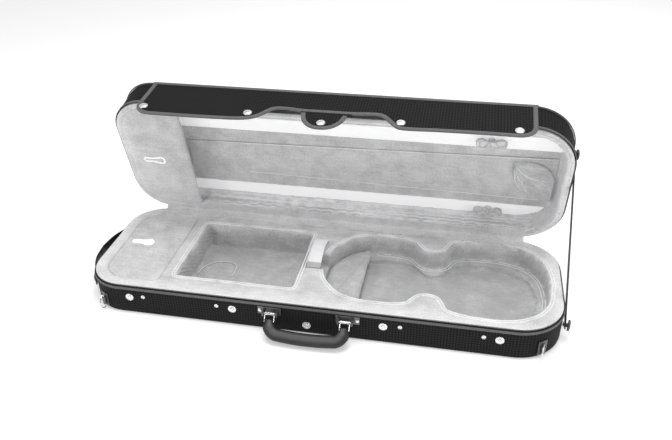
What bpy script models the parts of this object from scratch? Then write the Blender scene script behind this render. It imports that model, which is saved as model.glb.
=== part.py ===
"""Oblong violin case, standing open on its flat underside.

Metres, +Z up. The origin is the middle of the underside, X runs along the case and the hinge is at +Y.
The lid and everything on it is drawn closed, then turned open about the hinge by its parent empty.
"""

import math

import bmesh
import bpy
from mathutils import Matrix, Vector

# Driving sizes
LENGTH = 0.800
WIDTH = 0.250
RIM = 0.060  # height of the base, and of the closed joint between base and lid
LID_DEPTH = 0.0635
LEFT_CORNER = 0.064
RIGHT_CORNER = 0.077
OPEN_ANGLE = 76.0  # degrees between the closed lid and the lid at rest
FLARE = 7.0  # degrees that the front flap stands off the lid's front wall
HANDLE_DROP = 39.5  # degrees from straight down, with the grip on the table

# Thicknesses and gaps
GAP = 0.0003
CLOTH = 0.0012
PLY = 0.0045
PLUSH = 0.002
RIM_GAP = 0.0008  # half open joint that the plush edges leave when the lid is shut
SHELL_INSET = CLOTH + GAP
LINER_INSET = SHELL_INSET + PLY + GAP
PLUSH_INSET = 0.0018  # the plush laps over the shell's edge as far as this
EDGE_RADIUS = 0.006

# Joint axes
HINGE = Vector((0.0, WIDTH / 2 + 0.0025, RIM))
FRONT = -WIDTH / 2
HANDLE_X = -0.004  # middle of the handle
HANDLE_HALF = 0.062  # from the middle to each fitting
HANDLE_AXIS = Vector((HANDLE_X, FRONT - 0.0085, 0.0415))

# Hardware rows, along X from the case's front middle
SNAP_X = -0.0077
SNAP_STEPS = (-0.3081, -0.1258, 0.0, 0.1258, 0.3081)
SNAP_Z = 0.035
MIDDLE_SNAP_Z = 0.019
EYELET_STEPS = (-0.2833, -0.1528, 0.1528, 0.2833)
EYELET_Z = 0.038

# Hollows in the base
CAVITY_END = 0.381
CAVITY_FLOOR = 0.022
CAVITY_DEEP = 0.010
NECK_SLOT = (-0.045, 0.012, 0.022, 0.030)  # from x, to x, half width, floor height
TRAY = (-0.2465, -0.0415, 0.0815, 0.009)  # from x, to x, half width, floor height
COVERED_END = -0.272  # hinged edge of the covered compartment's lid
PAD_X = (0.0075, 0.070)
PAD_TOP = 0.034

# Hollows in the lid
LID_FLOOR = RIM + 0.046
LID_WALL = 0.014
LID_PANEL_END = -0.2750
LID_DIVIDER_END = -0.2970

FLAP_FACE = FRONT - 0.0035  # inner face of the flap when it lies flat
FLAP_THICK = 0.0018
FLAP_AXIS = Vector((0.0, FLAP_FACE - FLAP_THICK / 2, RIM + 0.0575))

NYLON = ("black_nylon", (0.022, 0.022, 0.024), 0.75, 0.0)
PIPING = ("grey_binding", (0.16, 0.16, 0.165), 0.6, 0.0)
PLYWOOD = ("plywood", (0.55, 0.42, 0.27), 0.7, 0.0)
VELOUR = ("silver_velour", (0.56, 0.56, 0.57), 0.95, 0.0)
SATIN = ("white_satin", (0.85, 0.85, 0.84), 0.35, 0.0)
LEATHER = ("black_leather", (0.02, 0.02, 0.02), 0.4, 0.0)
CHROME = ("nickel_plate", (0.8, 0.8, 0.8), 0.2, 1.0)
PLASTIC = ("grey_plastic", (0.35, 0.35, 0.35), 0.4, 0.0)


def clear_scene():
    for thing in list(bpy.data.objects):
        bpy.data.objects.remove(thing, do_unlink=True)


def finish_of(spec):
    """The Principled material of a (name, colour, roughness, metallic) finish, made once."""
    name, colour, roughness, metallic = spec
    made = bpy.data.materials.get(name)
    if made is None:
        made = bpy.data.materials.new(name)
        made.use_nodes = True
        shader = made.node_tree.nodes["Principled BSDF"]
        shader.inputs["Base Color"].default_value = (*colour, 1.0)
        shader.inputs["Roughness"].default_value = roughness
        shader.inputs["Metallic"].default_value = metallic
    return made


def axis_empty(name, place, parent=None, turn_x=0.0):
    """An empty on a joint's axis, placed in the frame of its parent's closed drawing."""
    empty = bpy.data.objects.new(name, None)
    bpy.context.collection.objects.link(empty)
    origin = parent["drawn_at"] if parent else (0.0, 0.0, 0.0)
    empty.location = Vector(place) - Vector(origin)
    empty.rotation_euler.x = math.radians(turn_x)
    empty["drawn_at"] = tuple(place)
    empty.parent = parent
    return empty


def add(name, bm, finish, carrier=None, cutter=False):
    """Links a bmesh as an object, drawn in world coordinates and carried by an axis empty."""
    bmesh.ops.remove_doubles(bm, verts=bm.verts, dist=1e-6)
    bmesh.ops.recalc_face_normals(bm, faces=bm.faces)
    if carrier:
        bm.transform(Matrix.Translation(-Vector(carrier["drawn_at"])))
    mesh = bpy.data.meshes.new(name)
    bm.to_mesh(mesh)
    bm.free()
    mesh.shade_smooth()
    mesh.set_sharp_from_angle(angle=math.radians(35))
    made = bpy.data.objects.new(name, mesh)
    bpy.context.collection.objects.link(made)
    made.parent = carrier
    if cutter:
        made.hide_render = True
        made.display_type = "WIRE"
    else:
        mesh.materials.append(finish_of(finish))
    return made


def cut(made, bm, carrier=None, operation="DIFFERENCE"):
    """Cuts a closed bmesh from an object, or joins it on, with an exact Boolean."""
    number = len(made.modifiers) + 1
    tool = add(f"{made.name}_{operation.lower()}_{number}", bm, None, carrier, cutter=True)
    modifier = made.modifiers.new(f"{operation.title()} {number}", "BOOLEAN")
    modifier.operation = operation
    modifier.solver = "EXACT"
    modifier.object = tool


def arc(centre, radius, start, end, steps):
    """Points on an arc, in degrees, both ends included."""
    turns = [math.radians(start + (end - start) * i / steps) for i in range(steps + 1)]
    return [(centre[0] + radius * math.cos(t), centre[1] + radius * math.sin(t)) for t in turns]


def plan(inset, steps=8, x_from=None, x_to=None):
    """The case's plan, drawn in by inset, and cut off at x_from or x_to."""
    half_l = LENGTH / 2 - inset
    half_w = WIDTH / 2 - inset
    points = []
    for sign_x, sign_y, start in ((1, 1, 0), (-1, 1, 90), (-1, -1, 180), (1, -1, 270)):
        radius = (RIGHT_CORNER if sign_x > 0 else LEFT_CORNER) - inset
        centre = (sign_x * (half_l - radius), sign_y * (half_w - radius))
        points += arc(centre, radius, start, start + 90, steps)
    if x_from is not None:
        points = clip(points, x_from, 1)
    if x_to is not None:
        points = clip(points, x_to, -1)
    return points


def clip(points, limit, side, axis=0):
    """The part of a convex outline where side * x is at least side * limit; axis 1 clips in y."""
    kept = []
    for here, there in zip(points, points[1:] + points[:1]):
        inside = side * here[axis] >= side * limit
        if inside:
            kept.append(here)
        if inside != (side * there[axis] >= side * limit):
            share = (limit - here[axis]) / (there[axis] - here[axis])
            kept.append(tuple(a + share * (b - a) for a, b in zip(here, there)))
    return kept


def spline(points, per_span):
    """A Catmull-Rom curve through 2-D points, ends included."""
    ends = [points[0], *points, points[-1]]
    found = []
    for i in range(1, len(ends) - 2):
        a, b, c, d = (Vector(ends[i + k]) for k in (-1, 0, 1, 2))
        for step in range(per_span):
            t = step / per_span
            place = 2 * b + (c - a) * t + (2 * a - 5 * b + 4 * c - d) * t**2 + (3 * b - a - 3 * c + d) * t**3
            found.append(tuple(place / 2))
    return found + [tuple(points[-1])]


def prism(points, low, high):
    """A closed upright prism on an outline."""
    bm = bmesh.new()
    face = bm.faces.new([bm.verts.new((x, y, low)) for x, y in points])
    raised = bmesh.ops.extrude_face_region(bm, geom=[face])["geom"]
    verts = [v for v in raised if isinstance(v, bmesh.types.BMVert)]
    bmesh.ops.translate(bm, verts=verts, vec=(0, 0, high - low))
    return bm


def block(low, high):
    """A box between two corners."""
    corners = [(low[0], low[1]), (high[0], low[1]), (high[0], high[1]), (low[0], high[1])]
    return prism(corners, low[2], high[2])


def ring(outer_inset, inner_inset, low, high):
    """A band that follows the case's plan."""
    bm = bmesh.new()
    loops = []
    for inset, height in ((outer_inset, low), (outer_inset, high), (inner_inset, high), (inner_inset, low)):
        loops.append([bm.verts.new((x, y, height)) for x, y in plan(inset)])
    for here, there in zip(loops, loops[1:] + loops[:1]):
        for i, j in zip(range(len(here)), [*range(1, len(here)), 0]):
            bm.faces.new((here[i], here[j], there[j], there[i]))
    return bm


def lathe(profile, place, toward, steps=20):
    """A turned piece: profile is (radius, distance along the axis), first and last on the axis."""
    bm = bmesh.new()
    verts = [bm.verts.new((radius, 0, along)) for radius, along in profile]
    edges = [bm.edges.new(pair) for pair in zip(verts, verts[1:])]
    bmesh.ops.spin(
        bm, geom=verts + edges, cent=(0, 0, 0), axis=(0, 0, 1), angle=math.tau, steps=steps, use_merge=True
    )
    bmesh.ops.remove_doubles(bm, verts=bm.verts, dist=1e-6)
    turn = Vector((0, 0, 1)).rotation_difference(Vector(toward)).to_matrix().to_4x4()
    bm.transform(Matrix.Translation(place) @ turn)
    return bm


def rod(start, end, radius, steps=14):
    """A round bar between two points."""
    start, end = Vector(start), Vector(end)
    length = (end - start).length
    return lathe([(0, 0), (radius, 0), (radius, length), (0, length)], start, end - start, steps)


def sweep(path, section, closed=False):
    """A section carried along a path, its first axis kept level with the path's own plane.

    section is called with the share of the way along and gives the (across, up) points there.
    """
    bm = bmesh.new()
    places = [Vector(p) for p in path]
    count = len(places)
    lean = path_normal(places)
    loops = []
    for i, place in enumerate(places):
        before = places[i - 1] if closed or i else place
        after = places[(i + 1) % count] if closed or i < count - 1 else place
        ahead = (after - before).normalized()
        across = ahead.cross(lean).normalized()
        points = section(i / (count if closed else count - 1))
        loops.append([bm.verts.new(place + across * a + lean * u) for a, u in points])
    pairs = list(zip(loops, loops[1:] + loops[:1])) if closed else list(zip(loops, loops[1:]))
    for here, there in pairs:
        for i, j in zip(range(len(here)), [*range(1, len(here)), 0]):
            bm.faces.new((here[i], here[j], there[j], there[i]))
    if not closed:
        bm.faces.new(loops[0])
        bm.faces.new(list(reversed(loops[-1])))
    return bm


def path_normal(places):
    """The normal of the plane that a bent path lies in."""
    total = Vector((0, 0, 0))
    middle = sum(places, Vector((0, 0, 0))) / len(places)
    for here, there in zip(places, places[1:]):
        total += (here - middle).cross(there - middle)
    return total.normalized()


def oval(width, height, steps=12):
    """An oval section, width across the path and height out of its plane."""
    turns = [math.tau * i / steps for i in range(steps)]
    return [(width / 2 * math.cos(t), height / 2 * math.sin(t)) for t in turns]


def flat(width, height):
    """A flat section, width across the path and height out of its plane."""
    w, h = width / 2, height / 2
    return [(w, -h), (w, h), (-w, h), (-w, -h)]


def bevel_edges(bm, radius, height, segments=3):
    """Rounds the edges that run round the outline at one height."""
    edges = [e for e in bm.edges if all(abs(v.co.z - height) < 1e-6 for v in e.verts)]
    bmesh.ops.bevel(bm, geom=edges, offset=radius, segments=segments, affect="EDGES", profile=0.5)
    return bm


def tray(name, finish, inset, thick, rim, floor, carrier=None):
    """An open box of even thickness on the case's plan; floor is the height of its closed outer face."""
    up = 1 if rim > floor else -1
    radius = EDGE_RADIUS - inset
    outer = prism(plan(inset), min(rim, floor), max(rim, floor))
    made = add(name, bevel_edges(outer, radius, floor), finish, carrier)
    ends = sorted((floor + up * thick, rim + up * 0.01))
    inner = bevel_edges(prism(plan(inset + thick), *ends), max(radius - thick, 0.001), floor + up * thick)
    cut(made, inner, carrier)
    return made


def cavity_half(grow):
    """Half the violin-shaped outline from the neck to the end button, as x and half width."""
    upper = spline([(0.0, 0.020), (0.012, 0.050), (0.042, 0.082), (0.085, 0.092), (0.125, 0.0905), (0.148, 0.085)], 3)
    waist = spline([(0.148, 0.085), (0.163, 0.064), (0.185, 0.058), (0.204, 0.067), (0.217, 0.094)], 2)
    lower = spline([(0.217, 0.094), (0.250, 0.1025), (0.300, 0.104), (0.345, 0.089), (0.372, 0.055), (CAVITY_END, 0.0)], 3)
    points = upper + waist[1:] + lower[1:]
    middle = CAVITY_END / 2
    share = 1 + grow / middle
    return [(middle + (x - middle) * share, max(w + grow, 0.0)) for x, w in points]


def cavity_outline(grow=0.0, x_from=None, x_to=None):
    """The whole violin-shaped outline, run counterclockwise."""
    half = cavity_half(grow)
    if x_from is not None:
        half = [(max(x, x_from), w) for x, w in half]
    if x_to is not None:
        half = [(x, w) for x, w in half if x <= x_to] + [(x_to, 0.0)]
    near = [(x, -w) for x, w in half]
    far = [(x, w) for x, w in reversed(half) if w > 0]
    return near + far


def base_tub():
    """Woven cover, plywood shell and edge binding of the base."""
    tray("base_cover", NYLON, 0.0, CLOTH, RIM - PLUSH - GAP, 0.0)
    tray("base_shell", PLYWOOD, SHELL_INSET, PLY, RIM - PLUSH - GAP, CLOTH + GAP)
    add("base_binding", ring(-0.0015, -GAP, 0.0505, 0.0550), PIPING)


def base_liner():
    """Foam block faced with plush, with every hollow of the base cut in it."""
    bottom = CLOTH + PLY + 2 * GAP
    foam = bevel_edges(prism(plan(LINER_INSET), bottom, RIM), 0.0012, bottom, 1)
    made = add("base_liner", foam, VELOUR)
    lip = bevel_edges(prism(plan(PLUSH_INSET), RIM - PLUSH, RIM), 0.0008, RIM, 1)
    cut(made, lip, operation="UNION")
    top = RIM + 0.01
    cut(made, prism(cavity_outline(), CAVITY_FLOOR, top))
    cut(made, prism(cavity_outline(-0.016, x_from=PAD_X[0] + 0.03), CAVITY_DEEP, CAVITY_FLOOR + 0.002))
    x0, x1, half, floor = TRAY
    cut(made, block((x0, -half, floor), (x1, half, top)))
    x0, x1, half, floor = NECK_SLOT
    cut(made, block((x0, -half, floor), (x1, half, top)))
    cut(made, prism(plan(0.0220, x_to=COVERED_END + GAP), RIM - 0.0080, top))
    cut(made, prism(plan(0.0300, x_to=COVERED_END - 0.008), 0.010, RIM - 0.0070))


def bout_pad():
    """Raised pad that carries the violin's upper bout."""
    points = cavity_outline(-0.0006, x_to=PAD_X[1])
    bm = prism(points, CAVITY_FLOOR + GAP, PAD_TOP)
    add("bout_pad", bevel_edges(bm, 0.002, PAD_TOP, 1), VELOUR)


def neck_strap():
    """Soft strap over the neck slot, sewn down at the back and stuck down at the front."""
    length = 0.086
    back = 0.062
    path = []
    for i in range(11):
        share = i / 10
        rise = 0.0115 * math.sin(math.pi * min(share * 1.12, 1.0)) ** 0.8
        path.append((-0.018, back - length * share, RIM + 0.0015 + rise))
    add("neck_strap", sweep(path, lambda share: flat(0.0018, 0.024)), SATIN)


def covered_lid():
    """Padded board over the covered compartment, and the tape that lifts it."""
    bm = prism(plan(0.0224, x_to=COVERED_END), RIM - 0.0077, RIM)
    add("accessory_lid", bevel_edges(bm, 0.0015, RIM, 1), VELOUR)
    add("accessory_lid_tab", prism(tab_outline(0.0105, 0.0190), RIM + GAP, RIM + 0.0017), SATIN)


def tab_outline(left, right):
    """A pull tab lying flat, of one width at its left end and another at its right."""
    middle = 0.004
    corners = [(-0.320, middle + right / 2), (-0.373, middle + left / 2)]
    return corners + [(x, 2 * middle - y) for x, y in reversed(corners)]


def snap_stud(name, x, z):
    """Press-stud post on a ring flange, riveted through the base's front wall."""
    profile = [(0, 0), (0.0070, 0), (0.0070, 0.0007), (0.0058, 0.0012), (0.0030, 0.0012), (0.0028, 0.0044), (0, 0.0047)]
    add(name, lathe(profile, (x, FRONT - GAP, z), (0, -1, 0)), CHROME)


def eyelet(name, x, z):
    """Small rolled eyelet beside a press stud."""
    profile = [(0, 0), (0.0038, 0), (0.0036, 0.0009), (0.0028, 0.0014), (0, 0.0014)]
    made = add(name, lathe(profile, (x, FRONT - GAP, z), (0, -1, 0), 14), CHROME)
    cut(made, rod((x, FRONT - 0.0012, z), (x, FRONT - 0.004, z), 0.0014, 10))


def front_hardware():
    """Press studs and eyelets in a row along the front."""
    for i, step in enumerate(SNAP_STEPS, 1):
        snap_stud(f"snap_stud_{i}", SNAP_X + step, MIDDLE_SNAP_Z if step == 0 else SNAP_Z)
    for i, step in enumerate(EYELET_STEPS, 1):
        eyelet(f"eyelet_{i}", SNAP_X + step, EYELET_Z)


def handle_plate(name, x, outward):
    """Riveted plate with two bored ears that hold one end of the handle."""
    back = FRONT - GAP
    ears = 0.0115
    long_end = x + outward * 0.0225
    short_end = x - outward * 0.0165
    low = (min(long_end, short_end), back - 0.0014, 0.0340)
    made = add(name, block(low, (max(long_end, short_end), back, 0.0490)), CHROME)
    for side in (-1, 1):
        ear_x = x + side * ears
        cut(made, block((ear_x - 0.0014, HANDLE_AXIS.y - 0.0034, 0.0375), (ear_x + 0.0014, back - 0.0007, 0.0455)), operation="UNION")
    cut(made, rod((x - 0.02, HANDLE_AXIS.y, HANDLE_AXIS.z), (x + 0.02, HANDLE_AXIS.y, HANDLE_AXIS.z), 0.0019))
    rivet_x = x + outward * 0.0185
    cut(made, lathe([(0, 0), (0.0026, 0), (0.0020, 0.0012), (0, 0.0016)], (rivet_x, back - 0.0010, 0.0415), (0, -1, 0), 12), operation="UNION")


def handle_ring(name, x, carrier):
    """Squared wire ring: its top bar turns in the plate's ears, its bottom bar passes through the grip's end."""
    reach = 0.0125
    wire = 0.0015
    y, z = HANDLE_AXIS.y, HANDLE_AXIS.z
    corners = [(-0.0078, 0.0), (0.0078, 0.0), (0.0078, -reach), (-0.0078, -reach)]
    path = [(x + a, y, z + b) for a, b in corners]
    made = add(name, sweep(path, lambda share: oval(2 * wire, 2 * wire, 8), closed=True), CHROME, carrier)
    cut(made, rod((x - 0.0128, y, z), (x + 0.0128, y, z), wire, 10), carrier, operation="UNION")


def grip(carrier):
    """Stitched padded grip, bowed between its two rings."""
    y, z = HANDLE_AXIS.y, HANDLE_AXIS.z
    half = [(HANDLE_HALF, 0.0095), *arc((0.0440, 0.0148), 0.0180, 0, 84, 6), (0.0220, 0.0345), (0.0, 0.0350)]
    outline = half + [(-a, s) for a, s in reversed(half[:-1])]
    path = [(HANDLE_X - a, y, z - s) for a, s in outline]

    def section(share):
        swell = min(1.0, 0.62 + 3.2 * min(share, 1 - share))
        return oval(0.0205 * swell, 0.0165 * swell)

    made = add("handle_grip", sweep(path, section), LEATHER, carrier)
    for side in (-1, 1):
        x = HANDLE_X + side * HANDLE_HALF
        bar = z - 0.0125
        cut(made, block((x - 0.0100, y - 0.0019, bar - 0.0019), (x + 0.0100, y + 0.0019, bar + 0.0019)), carrier)
        cut(made, block((x - 0.0100, y - 0.0019, bar), (x - 0.0058, y + 0.0019, z)), carrier)
        cut(made, block((x + 0.0058, y - 0.0019, bar), (x + 0.0100, y + 0.0019, z)), carrier)


def handle():
    """The carrying handle and its two fittings."""
    carrier = axis_empty("handle_axis", HANDLE_AXIS, turn_x=-HANDLE_DROP)
    for side, name in ((-1, "left"), (1, "right")):
        x = HANDLE_X + side * HANDLE_HALF
        handle_plate(f"handle_plate_{name}", x, side)
        handle_ring(f"handle_ring_{name}", x, carrier)
    grip(carrier)


def d_ring(side, name, turn, lean):
    """Upright D-ring for a shoulder strap, and the riveted tab that holds it on a front corner."""
    radius = RIGHT_CORNER if side > 0 else LEFT_CORNER
    centre = Vector((side * (LENGTH / 2 - radius), FRONT + radius, 0))
    turned = Matrix.Translation(centre) @ Matrix.Rotation(side * math.radians(turn), 4, "Z")
    wall = -radius - GAP
    axis_y, bore = wall - 0.0037, 0.0015
    plate = block((-0.0080, wall - 0.0012, 0.0060), (0.0080, wall, 0.0330))
    plate.transform(turned)
    tab = add(f"d_tab_{name}", plate, CHROME)
    lug = rod((0, axis_y, 0.0105), (0, axis_y, 0.0250), 0.0030)
    web = block((-0.0020, axis_y + 0.0018, 0.0105), (0.0020, wall - 0.0006, 0.0250))
    hole = rod((0, axis_y, 0.0), (0, axis_y, 0.0400), bore, 12)
    for shape, operation in ((lug, "UNION"), (web, "UNION"), (hole, "DIFFERENCE")):
        shape.transform(turned)
        cut(tab, shape, operation=operation)
    low, high, out = 0.0045, 0.0310, 0.0140
    path = [(0, axis_y, low), (0, axis_y, high)]
    for i in range(1, 10):
        t = math.pi * i / 10
        path.append((0, axis_y - out * math.sin(t), (low + high) / 2 + (high - low) / 2 * math.cos(t)))
    wire = bore - 0.00025
    bm = sweep(path, lambda share: oval(2 * wire, 2 * wire, 8), closed=True)
    pin = Matrix.Translation((0, axis_y, 0))
    bm.transform(turned @ pin @ Matrix.Rotation(math.radians(lean), 4, "Z") @ pin.inverted())
    add(f"d_ring_{name}", bm, CHROME)


def end_handle():
    """Bowed carrying loop on the left end; its feet lie on the wall, each under a domed stud."""
    wall = -LENGTH / 2
    level = 0.034
    half = [(0.0040, 0.0905), (-0.0020, 0.0780), (-0.0060, 0.0680), (-0.0140, 0.0530), (-0.0215, 0.0320), (-0.0255, 0.0)]
    near = spline(half, 3)
    both = near + [(a, -b) for a, b in reversed(near[:-1])]
    path = [(wall + a, -b, level) for a, b in both]
    add("end_handle", sweep(path, lambda share: flat(0.0032, 0.020)), LEATHER)
    for i, side in enumerate((-1, 1), 1):
        profile = [(0, 0), (0.0052, 0), (0.0050, 0.0008), (0.0030, 0.0020), (0, 0.0024)]
        place = (wall - 0.0013, side * 0.0862, level)
        out = Vector((-0.88, side * 0.48, 0))
        add(f"end_handle_stud_{i}", lathe(profile, place, out, 14), CHROME)


def stay_stud(name, place, out, shank, carrier=None):
    """Headed stud on the right end wall, whose shank carries one end of the stay."""
    profile = [(0, 0), (0.0032, 0), (0.0032, shank), (0.0075, shank + 0.0002)]
    profile += [(0.0078, shank + 0.0025), (0.0060, shank + 0.0040), (0, shank + 0.0045)]
    add(name, lathe(profile, place + out * GAP, out, 16), PLASTIC, carrier)


def stay(lid):
    """Webbing stay that stops the lid, and the headed stud at each of its ends."""
    turn = math.radians(-11)
    out = Vector((math.cos(turn), math.sin(turn), 0))
    centre = Vector((LENGTH / 2 - RIGHT_CORNER, FRONT + RIGHT_CORNER, 0.030))
    low = centre + out * RIGHT_CORNER
    stay_stud("stay_stud_base", low, out, 0.0082)
    high = Vector((LENGTH / 2, WIDTH / 2 - 0.166, RIM + 0.048))
    stay_stud("stay_stud_lid", high, Vector((1, 0, 0)), 0.0050, lid)
    high = HINGE + Matrix.Rotation(math.radians(-OPEN_ANGLE), 3, "X") @ (high - HINGE)
    high.x = LENGTH / 2 + 0.0033
    low += out * (high.x - low.x) / out.x
    ahead = (high - low).normalized()
    bm = block((-0.0009, -0.0060, -0.0075), (0.0009, 0.0060, (high - low).length + 0.0075))
    tilt = Matrix.Rotation(-math.atan2(ahead.y, ahead.z), 4, "X")
    bm.transform(Matrix.Translation(low) @ tilt)
    made = add("stay_strap", bm, NYLON)
    for place in (low, high):
        cut(made, rod(place - Vector((0.01, 0, 0)), place + Vector((0.01, 0, 0)), 0.0040))


def hinge(number, x, lid):
    """Steel butt hinge on the back wall: two leaves with knuckles, and the pin."""
    barrel, bore, pin = 0.0022, 0.0012, 0.00105
    y, z = HINGE.y, HINGE.z
    half = 0.0200
    leaf_out = WIDTH / 2 + 0.0015 + GAP
    pieces = (("base", -1, None, ((-half, -0.0070), (0.0070, half))), ("lid", 1, lid, ((-0.0066, 0.0066),)))
    for name, up, carrier, spans in pieces:
        low, high = sorted((z + up * 0.0028, z + up * 0.0200))
        plate = block((x - half, leaf_out, low), (x + half, leaf_out + 0.0012, high))
        made = add(f"hinge_{number}_{name}_leaf", plate, CHROME, carrier)
        for a, b in spans:
            arm = sorted((z + up * 0.0010, z + up * 0.0040))
            cut(made, block((x + a, leaf_out, arm[0]), (x + b, leaf_out + 0.0012, arm[1])), carrier, "UNION")
            cut(made, rod((x + a, y, z), (x + b, y, z), barrel, 12), carrier, "UNION")
        cut(made, rod((x - 0.03, y, z), (x + 0.03, y, z), bore, 12), carrier)
    add(f"hinge_{number}_pin", rod((x - half - 0.0010, y, z), (x + half + 0.0010, y, z), pin, 12), CHROME)


def gusset():
    """Plush strip that closes the inside of the joint along the back."""
    back = WIDTH / 2
    turn = Matrix.Rotation(math.radians(-OPEN_ANGLE), 3, "X")

    def opened(y, z):
        place = HINGE + turn @ (Vector((0, y, z)) - HINGE)
        return (place.y, place.z)

    thick = 0.0010
    low = RIM + GAP
    near = [(back - 0.020, low), (back - 0.003, low)]
    far = [opened(back - 0.003, RIM + RIM_GAP - GAP), opened(back - 0.020, RIM + RIM_GAP - GAP)]
    near_in = [(back - 0.020, low + thick), (back - 0.0055, low + thick)]
    far_in = [opened(back - 0.0055, RIM + RIM_GAP - GAP - thick), opened(back - 0.020, RIM + RIM_GAP - GAP - thick)]
    outline = near + far + list(reversed(far_in)) + list(reversed(near_in))
    bm = bmesh.new()
    x0, x1 = -LENGTH / 2 + LEFT_CORNER + 0.006, LENGTH / 2 - RIGHT_CORNER - 0.006
    face = bm.faces.new([bm.verts.new((x0, y, z)) for y, z in outline])
    raised = bmesh.ops.extrude_face_region(bm, geom=[face])["geom"]
    verts = [v for v in raised if isinstance(v, bmesh.types.BMVert)]
    bmesh.ops.translate(bm, verts=verts, vec=(x1 - x0, 0, 0))
    add("hinge_gusset", bm, VELOUR)


def lid_tub(lid):
    """Woven cover, plywood shell and the two edge bindings of the lid."""
    rim = RIM + RIM_GAP + PLUSH + GAP
    top = RIM + LID_DEPTH
    tray("lid_cover", NYLON, 0.0, CLOTH, rim, top, lid)
    tray("lid_shell", PLYWOOD, SHELL_INSET, PLY, rim, top - CLOTH - GAP, lid)
    add("lid_binding", ring(-0.0015, -GAP, RIM + 0.0050, RIM + 0.0095), PIPING, lid)
    add("lid_top_piping", ring(-0.0015, -GAP, top - 0.0065 + GAP, top - 0.0045), PIPING, lid)


def lid_liner(lid):
    """Foam lining of the lid, faced with plush, with the bow hollow and the pocket behind the panel."""
    rim = RIM + RIM_GAP
    top = RIM + LID_DEPTH - CLOTH - PLY - 2 * GAP
    foam = bevel_edges(prism(plan(LINER_INSET), rim, top), 0.0012, top, 1)
    made = add("lid_liner", foam, VELOUR, lid)
    lip = bevel_edges(prism(plan(PLUSH_INSET), rim, rim + PLUSH), 0.0008, rim, 1)
    cut(made, lip, lid, "UNION")
    low = RIM - 0.01
    cut(made, prism(plan(LID_WALL, x_from=LID_DIVIDER_END), low, LID_FLOOR), lid)
    cut(made, prism(plan(0.0116, x_to=LID_PANEL_END + GAP), low, RIM + 0.0138), lid)
    cut(made, prism(plan(0.0180, x_to=LID_DIVIDER_END - 0.005), RIM + 0.0130, LID_FLOOR), lid)


def lid_panel(lid):
    """Padded board over the lid's pocket, and the loop of tape that opens it."""
    front = RIM + 0.0065
    bm = prism(plan(0.0120, x_to=LID_PANEL_END), front, front + 0.0070)
    add("lid_pocket_panel", bevel_edges(bm, 0.0015, front, 1), VELOUR, lid)
    add("lid_pocket_tab", prism(tab_outline(0.0120, 0.0170), front - 0.0017, front - GAP), SATIN, lid)


def bow_bands(lid):
    """Satin-covered strips that the bows lie on."""
    face = LID_FLOOR - 0.0018
    for name, low, high in (("lower", 0.0850, 0.1100), ("upper", -0.0755, -0.0470)):
        outline = plan(LID_WALL + 0.0005, x_from=LID_DIVIDER_END + 0.001)
        outline = clip(clip(outline, low, 1, axis=1), high, -1, axis=1)
        add(f"bow_band_{name}", prism(outline, face, LID_FLOOR - GAP), SATIN, lid)


def bow_spinner(name, x, y, lid):
    """Turning clip that holds a bow's frog, on a boss that stands on the band."""
    floor = LID_FLOOR - 0.0018 - GAP
    boss = [(0, 0), (0.0062, 0), (0.0052, 0.0058), (0, 0.0058)]
    add(f"{name}_boss", lathe(boss, (x, y, floor), (0, 0, -1), 14), PLASTIC, lid)
    carrier = axis_empty(f"{name}_axis", (x, y, floor - 0.0062), lid)
    half = spline([(0.0265, 0.0), (0.0245, 0.0062), (0.0170, 0.0088), (0.0085, 0.0062), (0.0, 0.0050)], 3)
    outline = half + [(-a, b) for a, b in reversed(half[:-1])]
    outline = outline + [(a, -b) for a, b in reversed(outline[1:-1])]
    top = floor - 0.0062
    bm = prism([(x + a, y + b) for a, b in outline], top - 0.0065, top)
    add(name, bevel_edges(bm, 0.0015, top - 0.0065, 1), PLASTIC, carrier)


def pockets(lid):
    """Flat document pocket on the lid's floor, and the gathered fan pocket at its right end."""
    back = LID_FLOOR - GAP
    outline = [(-0.245, 0.052), (0.380, 0.068), (0.380, -0.031), (-0.245, -0.014)]
    add("document_pocket", prism(outline, back - 0.0030, back), VELOUR, lid)
    edge = spline([(0.306, -0.021), (0.330, -0.023), (0.352, -0.018), (0.368, -0.006), (0.379, 0.014)], 3)
    inner = spline([(0.379, 0.064), (0.346, 0.060), (0.322, 0.040), (0.306, 0.008)], 3)
    add("fan_pocket", prism(edge + inner, back - 0.0073, back - 0.0033), VELOUR, lid)


def flap_outline():
    """The front flap's outline as x and height, closed and flat, with its notches and middle tongue."""
    top = FLAP_AXIS.z
    left_end = arc((-0.300, 0.0420), 0.0290, 180, 265, 4)
    to_notch = spline([(-0.270, 0.0128), (-0.200, 0.0132), (-0.142, 0.0160), (-0.116, 0.0260), (-0.094, 0.0530), (-0.072, 0.0550), (-0.0475, 0.0520)], 3)
    tongue = spline([(-0.0455, 0.0460), (-0.0400, 0.0250), (-0.0260, 0.0080), (-0.0080, 0.0030), (0.0110, 0.0080), (0.0245, 0.0250), (0.0300, 0.0460)], 3)
    from_notch = spline([(0.0385, 0.0520), (0.068, 0.0545), (0.086, 0.0525), (0.106, 0.0280), (0.122, 0.0178), (0.180, 0.0195), (0.250, 0.0205)], 3)
    right_end = arc((0.300, 0.0480), 0.0280, 275, 360, 4)
    return [(-0.329, top), *left_end, *to_notch, *tongue, *from_notch, *right_end, (0.329, top)]


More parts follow.
